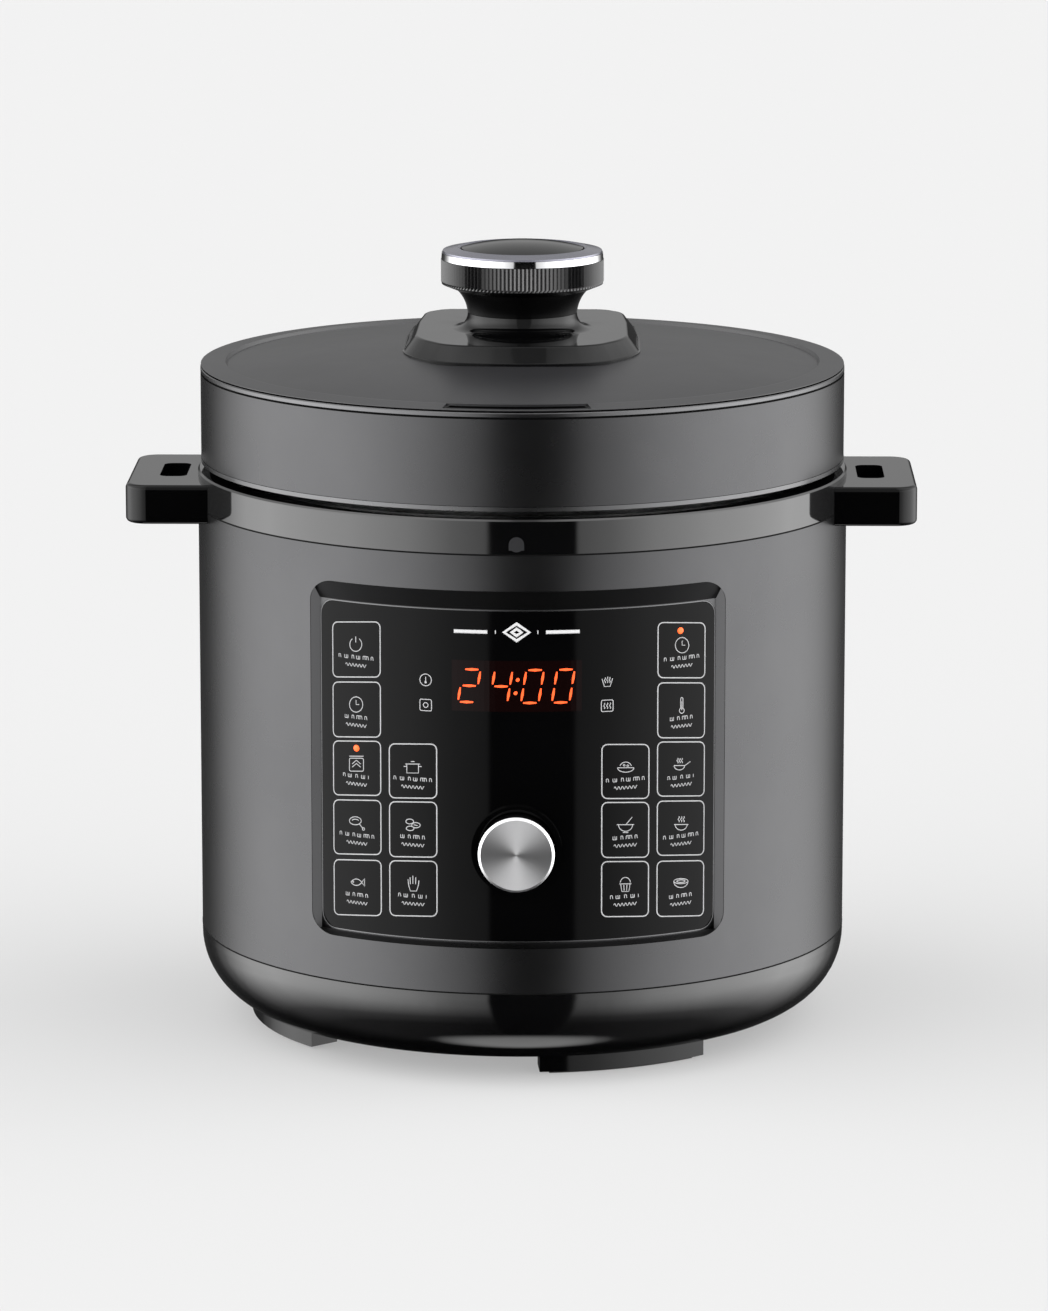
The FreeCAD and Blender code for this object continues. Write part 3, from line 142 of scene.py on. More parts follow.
def brushedLinesGroup():
    # fine lines that run around Z, as on a rolled and brushed sleeve
    group, start, end = startGroup(
        "brushedLines",
        [("Vector", "NodeSocketVector", None), ("Scale", "NodeSocketFloat", 1500.0)],
        [("Height", "NodeSocketFloat")])
    stretch = addNode(group, "ShaderNodeMapping")
    setInputs(stretch, Scale=(0.02, 0.02, 1.0))
    lines = addNode(group, "ShaderNodeTexNoise")
    setInputs(lines, Detail=3.0)
    wire(group, start.outputs["Vector"], stretch.inputs["Vector"])
    wire(group, stretch.outputs["Vector"], lines.inputs["Vector"])
    wire(group, start.outputs["Scale"], lines.inputs["Scale"])
    wire(group, lines.outputs["Fac"], end.inputs["Height"])
    return group


effects = {"wear": softWearGroup(), "grain": fineGrainGroup(),
           "turned": turnedLinesGroup(), "brushed": brushedLinesGroup()}
print("shared effects ready")

finishes = {
    # colour, second colour, metallic, roughness low and high, pattern, its scale, its depth in mm
    "gloss_black": dict(colour=(0.0020, 0.0020, 0.0022), second=(0.0030, 0.0030, 0.0032), metallic=0.0,
                        rough=(0.035, 0.08), pattern="grain", scale=260, depth=0.002, specular=1.0),
    "rubber": dict(colour=(0.022, 0.022, 0.022), second=(0.034, 0.034, 0.033), metallic=0.0,
                   rough=(0.7, 0.9), pattern="grain", scale=1500, depth=0.06),
    "zinc_steel": dict(colour=(0.62, 0.62, 0.60), second=(0.50, 0.50, 0.49), metallic=1.0,
                       rough=(0.25, 0.4), pattern="grain", scale=1200, depth=0.02),
    "plated_steel": dict(colour=(0.58, 0.58, 0.58), second=(0.48, 0.48, 0.48), metallic=1.0,
                         rough=(0.28, 0.42), pattern="brushed", scale=900, depth=0.02),
    "bare_aluminium": dict(colour=(0.75, 0.75, 0.76), second=(0.66, 0.66, 0.67), metallic=1.0,
                           rough=(0.3, 0.45), pattern="brushed", scale=1200, depth=0.02),
    "cast_aluminium": dict(colour=(0.60, 0.60, 0.61), second=(0.50, 0.50, 0.51), metallic=1.0,
                           rough=(0.35, 0.5), pattern="turned", scale=1400, depth=0.05),
    "white_plastic": dict(colour=(0.80, 0.80, 0.78), second=(0.74, 0.74, 0.71), metallic=0.0,
                          rough=(0.4, 0.55), pattern="grain", scale=900, depth=0.02),
    "board_green": dict(colour=(0.02, 0.13, 0.05), second=(0.03, 0.18, 0.08), metallic=0.0,
                        rough=(0.35, 0.5), pattern="grain", scale=500, depth=0.02),
    "satin_black": dict(colour=(0.020, 0.020, 0.022), second=(0.028, 0.028, 0.030), metallic=0.0,
                        rough=(0.38, 0.5), pattern="grain", scale=1400, depth=0.03),
    "gunmetal": dict(colour=(0.074, 0.074, 0.076), second=(0.082, 0.082, 0.084), metallic=1.0,
                     rough=(0.265, 0.29), pattern="grain", scale=2400, depth=0.0008),
    "panel_gloss": dict(colour=(0.0012, 0.0012, 0.0013), second=(0.0018, 0.0018, 0.0020), metallic=0.0,
                        rough=(0.05, 0.09), pattern="grain", scale=120, depth=0.001, specular=0.12),
    "film": dict(colour=(0.45, 0.28, 0.06), second=(0.52, 0.34, 0.09), metallic=0.0,
                 rough=(0.4, 0.5), pattern="grain", scale=600, depth=0.01),
    "mark_grey": dict(colour=(0.022, 0.022, 0.024), second=(0.032, 0.032, 0.034), metallic=0.0,
                      rough=(0.2, 0.3), pattern="grain", scale=900, depth=0.004),
    "spun_aluminium": dict(colour=(0.90, 0.90, 0.91), second=(0.84, 0.84, 0.85), metallic=1.0,
                           rough=(0.28, 0.31), pattern="turned", scale=3200, depth=0.006,
                           anisotropic=0.95, axis="Y"),
    "smoked_plastic": dict(colour=(0.03, 0.03, 0.033), second=(0.045, 0.045, 0.05), metallic=0.0,
                           rough=(0.1, 0.2), pattern="grain", scale=400, depth=0.004),
    "pot_coating": dict(colour=(0.05, 0.05, 0.053), second=(0.075, 0.075, 0.078), metallic=0.4,
                        rough=(0.35, 0.5), pattern="grain", scale=2200, depth=0.03),
    "silicone": dict(colour=(0.62, 0.62, 0.58), second=(0.70, 0.70, 0.66), metallic=0.0,
                     rough=(0.45, 0.6), pattern="grain", scale=700, depth=0.02),
    "polished_steel": dict(colour=(0.66, 0.66, 0.66), second=(0.56, 0.56, 0.57), metallic=1.0,
                           rough=(0.14, 0.26), pattern="turned", scale=900, depth=0.01),
    "trim_metal": dict(colour=(0.13, 0.13, 0.133), second=(0.15, 0.15, 0.153), metallic=1.0,
                       rough=(0.25, 0.29), pattern="brushed", scale=1200, depth=0.0008),
    "lid_matte": dict(colour=(0.008, 0.008, 0.010), second=(0.010, 0.010, 0.012), metallic=0.0,
                      rough=(0.34, 0.38), pattern="grain", scale=3000, depth=0.004, specular=1.0),
    "knurled_black": dict(colour=(0.006, 0.006, 0.0065), second=(0.009, 0.009, 0.0095), metallic=0.0,
                          rough=(0.12, 0.2), pattern="grain", scale=900, depth=0.002, specular=1.0),
    "chrome": dict(colour=(0.92, 0.92, 0.93), second=(0.86, 0.86, 0.87), metallic=1.0,
                   rough=(0.03, 0.07), pattern="grain", scale=300, depth=0.001),
    "crown_satin": dict(colour=(0.24, 0.24, 0.285), second=(0.27, 0.27, 0.315), metallic=0.8,
                        rough=(0.2, 0.25), pattern="grain", scale=2600, depth=0.002, specular=0.8),
    "deepGloss": dict(colour=(0.0014, 0.0014, 0.0015), second=(0.0020, 0.0020, 0.0022), metallic=0.0,
                      rough=(0.04, 0.08), pattern="grain", scale=260, depth=0.001, specular=0.3),
    "shadowBlack": dict(colour=(0.002, 0.002, 0.002), second=(0.003, 0.003, 0.003), metallic=0.0,
                        rough=(0.6, 0.8), pattern="grain", scale=1400, depth=0.02, specular=0.1),
    "printGrey": dict(colour=(0.62, 0.62, 0.63), second=(0.54, 0.54, 0.55), metallic=0.0,
                      rough=(0.4, 0.5), pattern="grain", scale=1500, depth=0.004),
    "printWhite": dict(colour=(0.86, 0.86, 0.86), second=(0.78, 0.78, 0.79), metallic=0.0,
                       rough=(0.35, 0.45), pattern="grain", scale=1500, depth=0.004),
    "displayWindow": dict(colour=(0.0045, 0.0014, 0.0014), second=(0.006, 0.0018, 0.0018), metallic=0.0,
                          rough=(0.06, 0.1), pattern="grain", scale=200, depth=0.001, specular=0.15),
}
lamps = {
    "amber_lens": dict(colour=(1.0, 0.115, 0.02), strength=1.5),
    "display_red": dict(colour=(1.0, 0.10, 0.02), strength=1.3),
}


usual = dict(specular=0.5, wearScale=18.0)  # what a finish has unless it says otherwise


def newMaterial(name):
    material = bpy.data.materials.new(name)
    material.use_nodes = True
    tree = material.node_tree
    return material, tree, tree.nodes["Principled BSDF"]


def onDialFace(tree, place):
    # rings round the dial's own axis: moved to its middle and turned to face forward
    low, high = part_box("dial_cap")
    turn = addNode(tree, "ShaderNodeMapping", vector_type="TEXTURE")
    setInputs(turn, Location=(low + high) / 2, Rotation=(math.radians(90), 0, 0))
    wire(tree, place, turn.inputs["Vector"])
    return turn.outputs["Vector"]


def paint(name, look):
    look = {**usual, **look}
    material, tree, shader = newMaterial(name)
    shader.inputs["Metallic"].default_value = look["metallic"]
    shader.inputs["Specular IOR Level"].default_value = look["specular"]
    place = addNode(tree, "ShaderNodeTexCoord").outputs["Object"]
    if look.get("axis") == "Y":
        place = onDialFace(tree, place)
    wear = addNode(tree, "ShaderNodeGroup", node_tree=effects["wear"])
    low, high = look["rough"]
    setInputs(wear, Scale=look["wearScale"], Low=low, High=high)
    wire(tree, place, wear.inputs["Vector"])
    wire(tree, wear.outputs["Value"], shader.inputs["Roughness"])
    tint = addNode(tree, "ShaderNodeMix", data_type="RGBA")
    setInputs(tint, A=(*look["colour"], 1), B=(*look["second"], 1))
    wire(tree, wear.outputs["Mask"], tint.inputs["Factor"])
    wire(tree, tint.outputs["Result"], shader.inputs["Base Color"])
    relief = addNode(tree, "ShaderNodeGroup", node_tree=effects[look["pattern"]])
    setInputs(relief, Scale=look["scale"])
    wire(tree, place, relief.inputs["Vector"])
    bump = addNode(tree, "ShaderNodeBump")
    setInputs(bump, Strength=1.0, Distance=look["depth"] * mm)
    wire(tree, relief.outputs["Height"], bump.inputs["Height"])
    wire(tree, bump.outputs["Normal"], shader.inputs["Normal"])
    if "anisotropic" in look:
        shader.inputs["Anisotropic"].default_value = look["anisotropic"]
        grainWay = addNode(tree, "ShaderNodeTangent", direction_type="RADIAL", axis=look["axis"])
        wire(tree, grainWay.outputs["Tangent"], shader.inputs["Tangent"])
    return material


lampLens = dict(roughness=0.3, grainScale=900.0, dimmer=0.85)


def paintLamp(name, look):
    # a lit lens, clouded a little so that it isn't one even colour
    material, tree, shader = newMaterial(name)
    shader.inputs["Roughness"].default_value = lampLens["roughness"]
    shader.inputs["Emission Strength"].default_value = look["strength"]
    place = addNode(tree, "ShaderNodeTexCoord").outputs["Object"]
    wear = addNode(tree, "ShaderNodeGroup", node_tree=effects["wear"])
    setInputs(wear, Scale=lampLens["grainScale"])
    wire(tree, place, wear.inputs["Vector"])
    tint = addNode(tree, "ShaderNodeMix", data_type="RGBA")
    setInputs(tint, A=(*[c * lampLens["dimmer"] for c in look["colour"]], 1), B=(*look["colour"], 1))
    wire(tree, wear.outputs["Mask"], tint.inputs["Factor"])
    wire(tree, tint.outputs["Result"], shader.inputs["Emission Color"])
    wire(tree, tint.outputs["Result"], shader.inputs["Base Color"])
    return material


# nodes whose finish differs from the rest of their slot; lid_liner and touch_film get shadowBlack, painted
# shade, so the gap under the lid and the film's edge behind the panel look unlit
ownFinishAndShade = {"lid_liner": "shadowBlack", "touch_film": "shadowBlack", "knob_body": "deepGloss",
             "knob_base": "deepGloss", "release_button": "deepGloss", "handle_left": "deepGloss",
             "handle_right": "deepGloss", "dial_bezel": "deepGloss", "feet": "deepGloss"}
materials = {name: paint(name, look) for name, look in finishes.items()}
materials.update({name: paintLamp(name, look) for name, look in lamps.items()})
for row in frame["record"]["subparts"]:
    node = nodes[row["node"]]
    node.data.materials.clear()
    node.data.materials.append(materials[ownFinishAndShade.get(row["node"], row["material_slot"])])
print("finishes on every node")


def finishPiece(name, bm, material, body, smooth=True):
    mesh = bpy.data.meshes.new(name)
    for face in bm.faces:
        face.smooth = smooth
    bm.to_mesh(mesh)
    bm.free()
    piece = bpy.data.objects.new(name, mesh)
    bpy.context.scene.collection.objects.link(piece)
    mesh.materials.append(materials[material])
    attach(piece, body)
    return piece


def turnedRing(profile, steps):
    # a closed profile of (radius, height) corners, spun once around Z
    bm = bmesh.new()
    corners = [bm.verts.new((r, 0, z)) for r, z in profile]
    edges = [bm.edges.new(pair) for pair in zip(corners, corners[1:] + corners[:1])]
    bmesh.ops.spin(bm, geom=corners + edges, cent=(0, 0, 0), axis=(0, 0, 1), angle=math.tau,
                   steps=steps, use_merge=True)
    return bm


grip = dict(ribs=120, ribDepth=0.8 * mm, wall=1.85 * mm, footRise=1.1 * mm, footInset=0.4 * mm,
            topEase=0.2 * mm, skin=0.1 * mm)


def makeGrip():
    low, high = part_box("knob_grip")
    outer = high.x
    inner = outer - grip["wall"]
    bm = turnedRing(((inner, low.z), (outer - grip["footInset"], low.z), (outer, low.z + grip["footRise"]),
                     (outer, high.z - grip["topEase"]), (outer - grip["topEase"], high.z), (inner, high.z)),
                    grip["ribs"] * 2)
    outside = [v for v in bm.verts if v.co.xy.length > outer - grip["skin"]]
    outside.sort(key=lambda v: (round(v.co.z, 5), math.atan2(v.co.y, v.co.x)))
    valleys = outside[1::2]
    shrink = (outer - grip["ribDepth"]) / outer
    bmesh.ops.scale(bm, vec=(shrink, shrink, 1), verts=valleys)
    bmesh.ops.recalc_face_normals(bm, faces=bm.faces)
    piece = finishPiece("knurledGrip", bm, "knurled_black", "lid", smooth=False)
    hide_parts("knob_grip")


knobBase = dict(  # all in millimetres
    # right half of the lower outline, front to back, and how far each corner is rounded
    outline=((0, -68.0), (20, -66.7), (37.5, -62.6), (54.6, -37.0),
             (54.0, 20.0), (51.5, 57.0), (42.0, 68.0)),
    rounded={1: 8.0, 2: 8.5, 3: 13.0, 5: 5.0, 6: 5.0}, roundSteps=6,
    low=312.0, collarRise=7.3,
    # each step: how far it rises (None goes to the top), and its scale in x and y
    steps=((2.8, 1.0, 1.0), (0.3, 0.985, 0.988), (None, 0.905, 0.912)),
    edge=0.9, edgeSteps=3,
    # radius and height down the collar, the neck's seat and the bore
    collar=((33.0, 321.9), (30.4, 322.25), (28.3, 323.1), (26.8, 324.4), (25.9, 326.0), (25.4, 327.6),
            (25.2, 329.2), (15.0, 329.2), (4.2, 329.2), (4.2, 312.0)),
    collarSegments=64, bottomCorners=12, weld=0.01, sharpAbove=32)


def ringAt(bm, radius, z):
    made = bmesh.ops.create_circle(bm, cap_ends=False, segments=knobBase["collarSegments"],
                                   radius=radius * mm)["verts"]
    bmesh.ops.translate(bm, vec=(0, 0, z * mm), verts=made)
    return list({e for v in made for e in v.link_edges})


def knobOutline(bm, shape):
    right = shape["outline"]
    points = list(right) + [(-x, y) for x, y in reversed(right) if x > 0]
    corners = [bm.verts.new((x * mm, y * mm, shape["low"] * mm)) for x, y in points]
    bm.faces.new(corners)
    for index, radius in shape["rounded"].items():
        bmesh.ops.bevel(bm, geom=[corners[index], corners[len(points) - index]], offset=radius * mm,
                        segments=shape["roundSteps"], profile=0.5, affect="VERTICES", material=-1)
    return bm.faces[:][0]


def raiseFlanks(bm, face, shape, top):
    for rise, scaleX, scaleY in shape["steps"]:
        made = bmesh.ops.extrude_face_region(bm, geom=[face], use_keep_orig=False)["geom"]
        face = [g for g in made if isinstance(g, bmesh.types.BMFace)][0]
        lift = top - face.calc_center_median().z if rise is None else rise * mm
        bmesh.ops.translate(bm, vec=(0, 0, lift), verts=face.verts)
        bmesh.ops.scale(bm, vec=(scaleX, scaleY, 1), verts=face.verts)
    bmesh.ops.bevel(bm, geom=list(face.edges), offset=shape["edge"] * mm, segments=shape["edgeSteps"],
                    profile=0.5, affect="EDGES", material=-1)


def raiseCollar(bm, loop, collar):
    for (r0, z0), (r1, z1) in zip(collar, collar[1:]):
        made = bmesh.ops.extrude_edge_only(bm, edges=loop)["geom"]
        verts = [g for g in made if isinstance(g, bmesh.types.BMVert)]
        bmesh.ops.scale(bm, vec=(r1 / r0, r1 / r0, 1), verts=verts)
        bmesh.ops.translate(bm, vec=(0, 0, (z1 - z0) * mm), verts=verts)
        loop = [g for g in made if isinstance(g, bmesh.types.BMEdge) and all(v in verts for v in g.verts)]


def makeKnobBase():
    shape = knobBase
    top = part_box("knob_base")[1].z - shape["collarRise"] * mm
    bm = bmesh.new()
    raiseFlanks(bm, knobOutline(bm, shape), shape, top)
    cap = max(bm.faces, key=lambda f: (round(f.calc_center_median().z, 5), f.calc_area()))
    rim = list(cap.edges)
    bmesh.ops.delete(bm, geom=[cap], context="FACES_ONLY")
    loop = ringAt(bm, shape["collar"][0][0], top / mm)
    bmesh.ops.triangle_fill(bm, use_beauty=True, edges=rim + loop, normal=(0, 0, 1))
    raiseCollar(bm, loop, shape["collar"])
    bottom = [f for f in bm.faces if len(f.verts) > shape["bottomCorners"]]
    bmesh.ops.delete(bm, geom=bottom, context="FACES_ONLY")
    bmesh.ops.bridge_loops(bm, edges=[e for e in bm.edges if e.is_boundary])
    bmesh.ops.remove_doubles(bm, verts=bm.verts, dist=shape["weld"] * mm)
    bmesh.ops.recalc_face_normals(bm, faces=bm.faces)
    for edge in bm.edges:
        edge.smooth = not edge.is_manifold or edge.calc_face_angle() < math.radians(shape["sharpAbove"])
    piece = finishPiece("knobBase", bm, "deepGloss", "lid")
    evenShading(piece)
    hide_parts("knob_base")


def evenShading(piece):
    shading = piece.modifiers.new("shading", "WEIGHTED_NORMAL")
    shading.keep_sharp = True
    shading.weight = 80


# sizes of the black rings that paint the shade in the shell's seams
seam = dict(half=0.32 * mm, proud=0.1 * mm, depth=0.5 * mm, steps=192)


def makeSeamShade(name, z, radius):
    # painted shade: a black ring for the shadow in the gap where the metal shell meets the moulding above
    # or below it
    outer, inner = radius + seam["proud"], radius - seam["depth"]
    low, high = z - seam["half"], z + seam["half"]
    bm = turnedRing(((inner, low), (outer, low), (outer, high), (inner, high)), seam["steps"])
    bmesh.ops.recalc_face_normals(bm, faces=bm.faces)
    evenShading(finishPiece(name, bm, "shadowBlack", "housing"))


makeGrip()
makeKnobBase()
print("knob shaped")
shellLow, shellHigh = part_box("outer_shell")
# painted shade rings at the shell's lower and upper seams
makeSeamShade("seamShadeLower", shellLow.z, shellHigh.x)
makeSeamShade("seamShadeUpper", shellHigh.z, shellHigh.x)
print("seams laid")


# the printed panel: x runs round the curved face, y is the height, both in millimetres
panel = dict(radius=146.0, keyLine=0.55, iconLine=0.4, iconSize=3.7, relief=0.06, level=0.2,
             keyCorner=2.6, iconDrop=10.2, statusSize=2.7, cutAbove=4.0, cuts=5,
             edge=(-94.4, 94.4, 66.2, 216.6), edgeCorner=7.0, edgeWidth=0.7, ornamentLine=1.7)
leftOuter = (-87.7, -62.8)
leftInner = (-58.5, -36.0)
rightInner = (38.2, 60.4)
rightOuter = (64.6, 88.9)
outerRows = ((182.8, 207.8), (155.5, 180.5), (128.9, 153.6), (101.8, 126.6), (73.7, 99.1))
innerRows = ((130.2, 154.8), (103.3, 128.4), (76.2, 101.4))


def sweepArc(x, y, rx, ry, start, end, count=14):
    turn = [math.radians(start + (end - start) * k / (count - 1)) for k in range(count)]
    return [(x + rx * math.cos(t), y + ry * math.sin(t)) for t in turn]


def oval(x, y, rx, ry, count=16):
    return sweepArc(x, y, rx, ry, 0, 360 * (count - 1) / count, count) + ["closed"]


def roundedFrame(x0, x1, y0, y1, radius, sideStep=2.5):
    corners = ((x1 - radius, y1 - radius, 0), (x0 + radius, y1 - radius, 90),
               (x0 + radius, y0 + radius, 180), (x1 - radius, y0 + radius, 270))
    path = []
    for x, y, start in corners:
        path += sweepArc(x, y, radius, radius, start, start + 90, 6)
    dense = []
    for (ax, ay), (bx, by) in zip(path, path[1:] + path[:1]):
        pieces = 1 + int(math.hypot(bx - ax, by - ay) / sideStep)
        dense += [(ax + (bx - ax) * k / pieces, ay + (by - ay) * k / pieces) for k in range(pieces)]
    return dense + ["closed"]


def wave(x, y, height):
    return [(x + 0.10 * math.sin(k * math.pi / 3), y + height * k / 9) for k in range(10)]


icons = {
    "power": [sweepArc(0, 0, 0.85, 0.85, 125, 415, 20), [(0, 0.25), (0, 1.0)]],
    "clock": [oval(0, 0, 0.95, 0.95), [(0, 0.55), (0, 0), (0.42, 0)]],
    "steam": [roundedFrame(-1.0, 1.0, -0.95, 0.65, 0.2), [(-0.6, -0.45), (0, 0.0), (0.6, -0.45)],
              [(-0.6, -0.05), (0, 0.4), (0.6, -0.05)], [(-1.0, 0.9), (1.0, 0.9)]],
    "drumstick": [oval(-0.2, 0.2, 0.85, 0.5), [(0.35, -0.15), (0.9, -0.75)],
                  oval(0.95, -0.8, 0.16, 0.16, 8), sweepArc(-0.2, 0.15, 0.5, 0.25, 20, 160, 8)],
    "fish": [sweepArc(-0.1, -0.55, 0.95, 0.95, 35, 145, 10), sweepArc(-0.1, 0.55, 0.95, 0.95, 215, 325, 10),
             [(0.66, 0.0), (1.1, 0.5), (1.05, 0.0), (1.1, -0.5), (0.66, 0.0)],
             oval(-0.55, 0.05, 0.08, 0.08, 6)],
    "pot": [[(-0.75, 0.25), (-0.75, -0.8), (0.75, -0.8), (0.75, 0.25)], [(-0.95, 0.3), (0.95, 0.3)],
            [(-0.25, 0.6), (0.25, 0.6)], [(-1.15, 0.0), (-0.75, 0.0)], [(0.75, 0.0), (1.15, 0.0)]],
    "beans": [oval(-0.4, 0.35, 0.5, 0.3), oval(0.4, -0.1, 0.55, 0.32), oval(-0.35, -0.5, 0.5, 0.28),
              [(0.1, -0.05), (0.6, -0.15)]],
    "hand": [[(-0.65, 0.5), (-0.55, -0.3), (-0.35, -0.95), (0.45, -0.95), (0.7, -0.2), (0.75, 0.35)],
             [(-0.35, -0.1), (-0.38, 0.75)], [(-0.02, -0.05), (-0.02, 0.95)], [(0.32, -0.1), (0.36, 0.75)]],
    "rice": [sweepArc(0, -0.1, 1.05, 0.55, 180, 360, 12), [(-1.05, -0.1), (1.05, -0.1)],
             sweepArc(0, -0.05, 0.75, 0.65, 15, 165, 10), oval(-0.2, 0.2, 0.12, 0.1, 6),
             oval(0.25, 0.15, 0.12, 0.1, 6)],
    "porridge": [sweepArc(0, 0, 0.9, 0.8, 180, 360, 12), [(-1.1, 0.02), (1.1, 0.02)],
                 [(0.1, 0.1), (0.85, 0.95)], [(-0.35, -0.95), (0.35, -0.95)]],
    "cake": [[(-0.6, 0.0), (-0.45, -0.95), (0.45, -0.95), (0.6, 0.0)], [(-0.75, 0.0), (0.75, 0.0)],
             sweepArc(0, 0.1, 0.65, 0.7, 5, 175, 10), [(-0.2, -0.1), (-0.16, -0.85)],
             [(0.2, -0.1), (0.16, -0.85)]],
    "heat": [[(-0.16, -0.35), (-0.16, 0.8)] + sweepArc(0, 0.8, 0.16, 0.16, 180, 0, 6) + [(0.16, -0.35)],
             oval(0, -0.65, 0.34, 0.34, 12), [(0, -0.6), (0, 0.5)]],
    "pan": [sweepArc(-0.3, -0.15, 0.75, 0.55, 180, 360, 10), [(-1.05, -0.15), (0.5, -0.15), (1.25, 0.35)],
            wave(-0.55, 0.15, 0.6), wave(-0.25, 0.15, 0.6), wave(0.05, 0.15, 0.6)],
    "soup": [sweepArc(0, -0.15, 0.85, 0.7, 180, 360, 12), [(-1.0, -0.15), (1.0, -0.15)],
             wave(-0.35, 0.15, 0.7), wave(0, 0.15, 0.7), wave(0.35, 0.15, 0.7)],
    "yogurt": [oval(0, 0.25, 1.0, 0.32), oval(0, 0.25, 0.6, 0.16),
               sweepArc(0, 0.2, 1.0, 0.75, 180, 360, 12)],
    "sun": [roundedFrame(-1.0, 1.0, -0.95, 0.95, 0.25), oval(0, 0, 0.42, 0.42, 10)],
    "cup": [[(-0.9, 0.5), (-0.5, -0.8), (0.5, -0.8), (0.9, 0.5)], wave(-0.4, -0.2, 0.9), wave(0, -0.2, 1.0),
            wave(0.4, -0.2, 0.9)],
    "warm": [roundedFrame(-1.0, 1.0, -0.95, 0.95, 0.25), wave(-0.5, -0.5, 1.0), wave(0, -0.5, 1.0),
             wave(0.5, -0.5, 1.0)],
    "hot": [oval(0, 0, 1.0, 1.0), [(0, -0.5), (0, 0.5)], oval(0, -0.4, 0.14, 0.14, 6)],
}
keyIcons = (
    (leftOuter, outerRows, ("power", "clock", "steam", "drumstick", "fish")),
    (leftInner, innerRows, ("pot", "beans", "hand")),
    (rightInner, innerRows, ("rice", "porridge", "cake")),
    (rightOuter, outerRows, ("clock", "heat", "pan", "soup", "yogurt")),
)
statusIcons = (("hot", -41.0, 184.3), ("sun", -41.0, 172.9), ("cup", 40.6, 183.8), ("warm", 40.6, 172.9))
# rows of plain ticks in place of words: the width of each word, and how its ticks are set
captions = ((1.6, 2.4, 0.9, 1.9, 2.6, 1.2), (2.2, 1.0, 2.7, 1.4), (1.1, 2.5, 1.5, 2.1, 0.8))
caption = dict(drop=15.2, height=1.5, step=0.85, lean=0.25, gap=1.5, line=0.34)
ripple = dict(drop=19.6, start=5.4, step=0.3, points=37, rise=0.7, turn=1.1, line=0.36)
ornament = [[(-28, 207), (-13, 207)], [(13, 207), (28, 207)],
            [(-9.6, 207), (-9.2, 207)], [(9.2, 207), (9.6, 207)],
            [(-5.6, 207), (0, 210.8), (5.6, 207), (0, 203.2), "closed"],
            [(-2.2, 207), (0, 208.5), (2.2, 207), (0, 205.5), "closed"]]


def strokesToMesh(strokes, width):
    # strokes are drawn as a flat curve in millimetres, then made a mesh
    curve = bpy.data.curves.new("stroke", "CURVE")
    curve.dimensions = "3D"
    curve.bevel_depth = width / 2
    curve.bevel_resolution = 1
    curve.use_fill_caps = True
    for stroke in strokes:
        closed = stroke[-1] == "closed"
        path = stroke[:-1] if closed else stroke
        spline = curve.splines.new("POLY")
        spline.points.add(len(path) - 1)
        for point, (x, y) in zip(spline.points, path):
            point.co = (x, y, 0, 1)
        spline.use_cyclic_u = closed
    holder = bpy.data.objects.new("stroke", curve)
    bpy.context.scene.collection.objects.link(holder)
    bpy.context.view_layer.update()
    mesh = bpy.data.meshes.new_from_object(holder.evaluated_get(bpy.context.evaluated_depsgraph_get()))
    bpy.data.objects.remove(holder)
    bpy.data.curves.remove(curve)
    return mesh


def wrapOnPanel(bm, radius, flatten):
    long = [e for e in bm.edges if abs(e.verts[0].co.x - e.verts[1].co.x) > panel["cutAbove"]]
    if long:
        bmesh.ops.subdivide_edges(bm, edges=long, cuts=panel["cuts"], use_grid_fill=True)
    for vert in bm.verts:
        turn = vert.co.x / panel["radius"]
        reach = radius + vert.co.z * flatten
        vert.co = Vector((reach * math.sin(turn), -reach * math.cos(turn), vert.co.y)) * mm


def printStrokes(name, strokes, width, material):
    bm = bmesh.new()
    bm.from_mesh(strokesToMesh(strokes, width))
    wrapOnPanel(bm, panel["radius"], 2 * panel["relief"] / width)
    return finishPiece(name, bm, material, "housing")


def levelled(strokes, x):
    # a key's print is cut so that its rows look level from the front, where the curved face would dip
    middle = math.cos(x / panel["radius"])

    def lift(across):
        return panel["level"] * panel["radius"] * (math.cos(across / panel["radius"]) - middle)

    return [[p if p == "closed" else (p[0], p[1] + lift(p[0])) for p in stroke] for stroke in strokes]


def placed(stroke, x, y, size):
    return [p if p == "closed" else (x + size * p[0], y + size * p[1]) for p in stroke]


def captionTicks(x, top, words):
    marks = []
    high, low, step = top - caption["drop"], top - caption["drop"] - caption["height"], caption["step"]
    start = x - (sum(words) + caption["gap"] * (len(words) - 1)) / 2
    for word in words:
        ticks = int(word / step) + 1
        marks += [[(start + step * k, high), (start + step * k + caption["lean"] * (k % 2), low)]
                  for k in range(ticks)]
        level = low if ticks % 2 else high
        marks.append([(start, level), (start + step * (ticks - 1), level)])
        start += word + caption["gap"]
    return marks


def captionRipple(x, top):
    start, level = x - ripple["start"], top - ripple["drop"]
    return [(start + ripple["step"] * k, level + ripple["rise"] * math.sin(k * ripple["turn"]))
            for k in range(ripple["points"])]


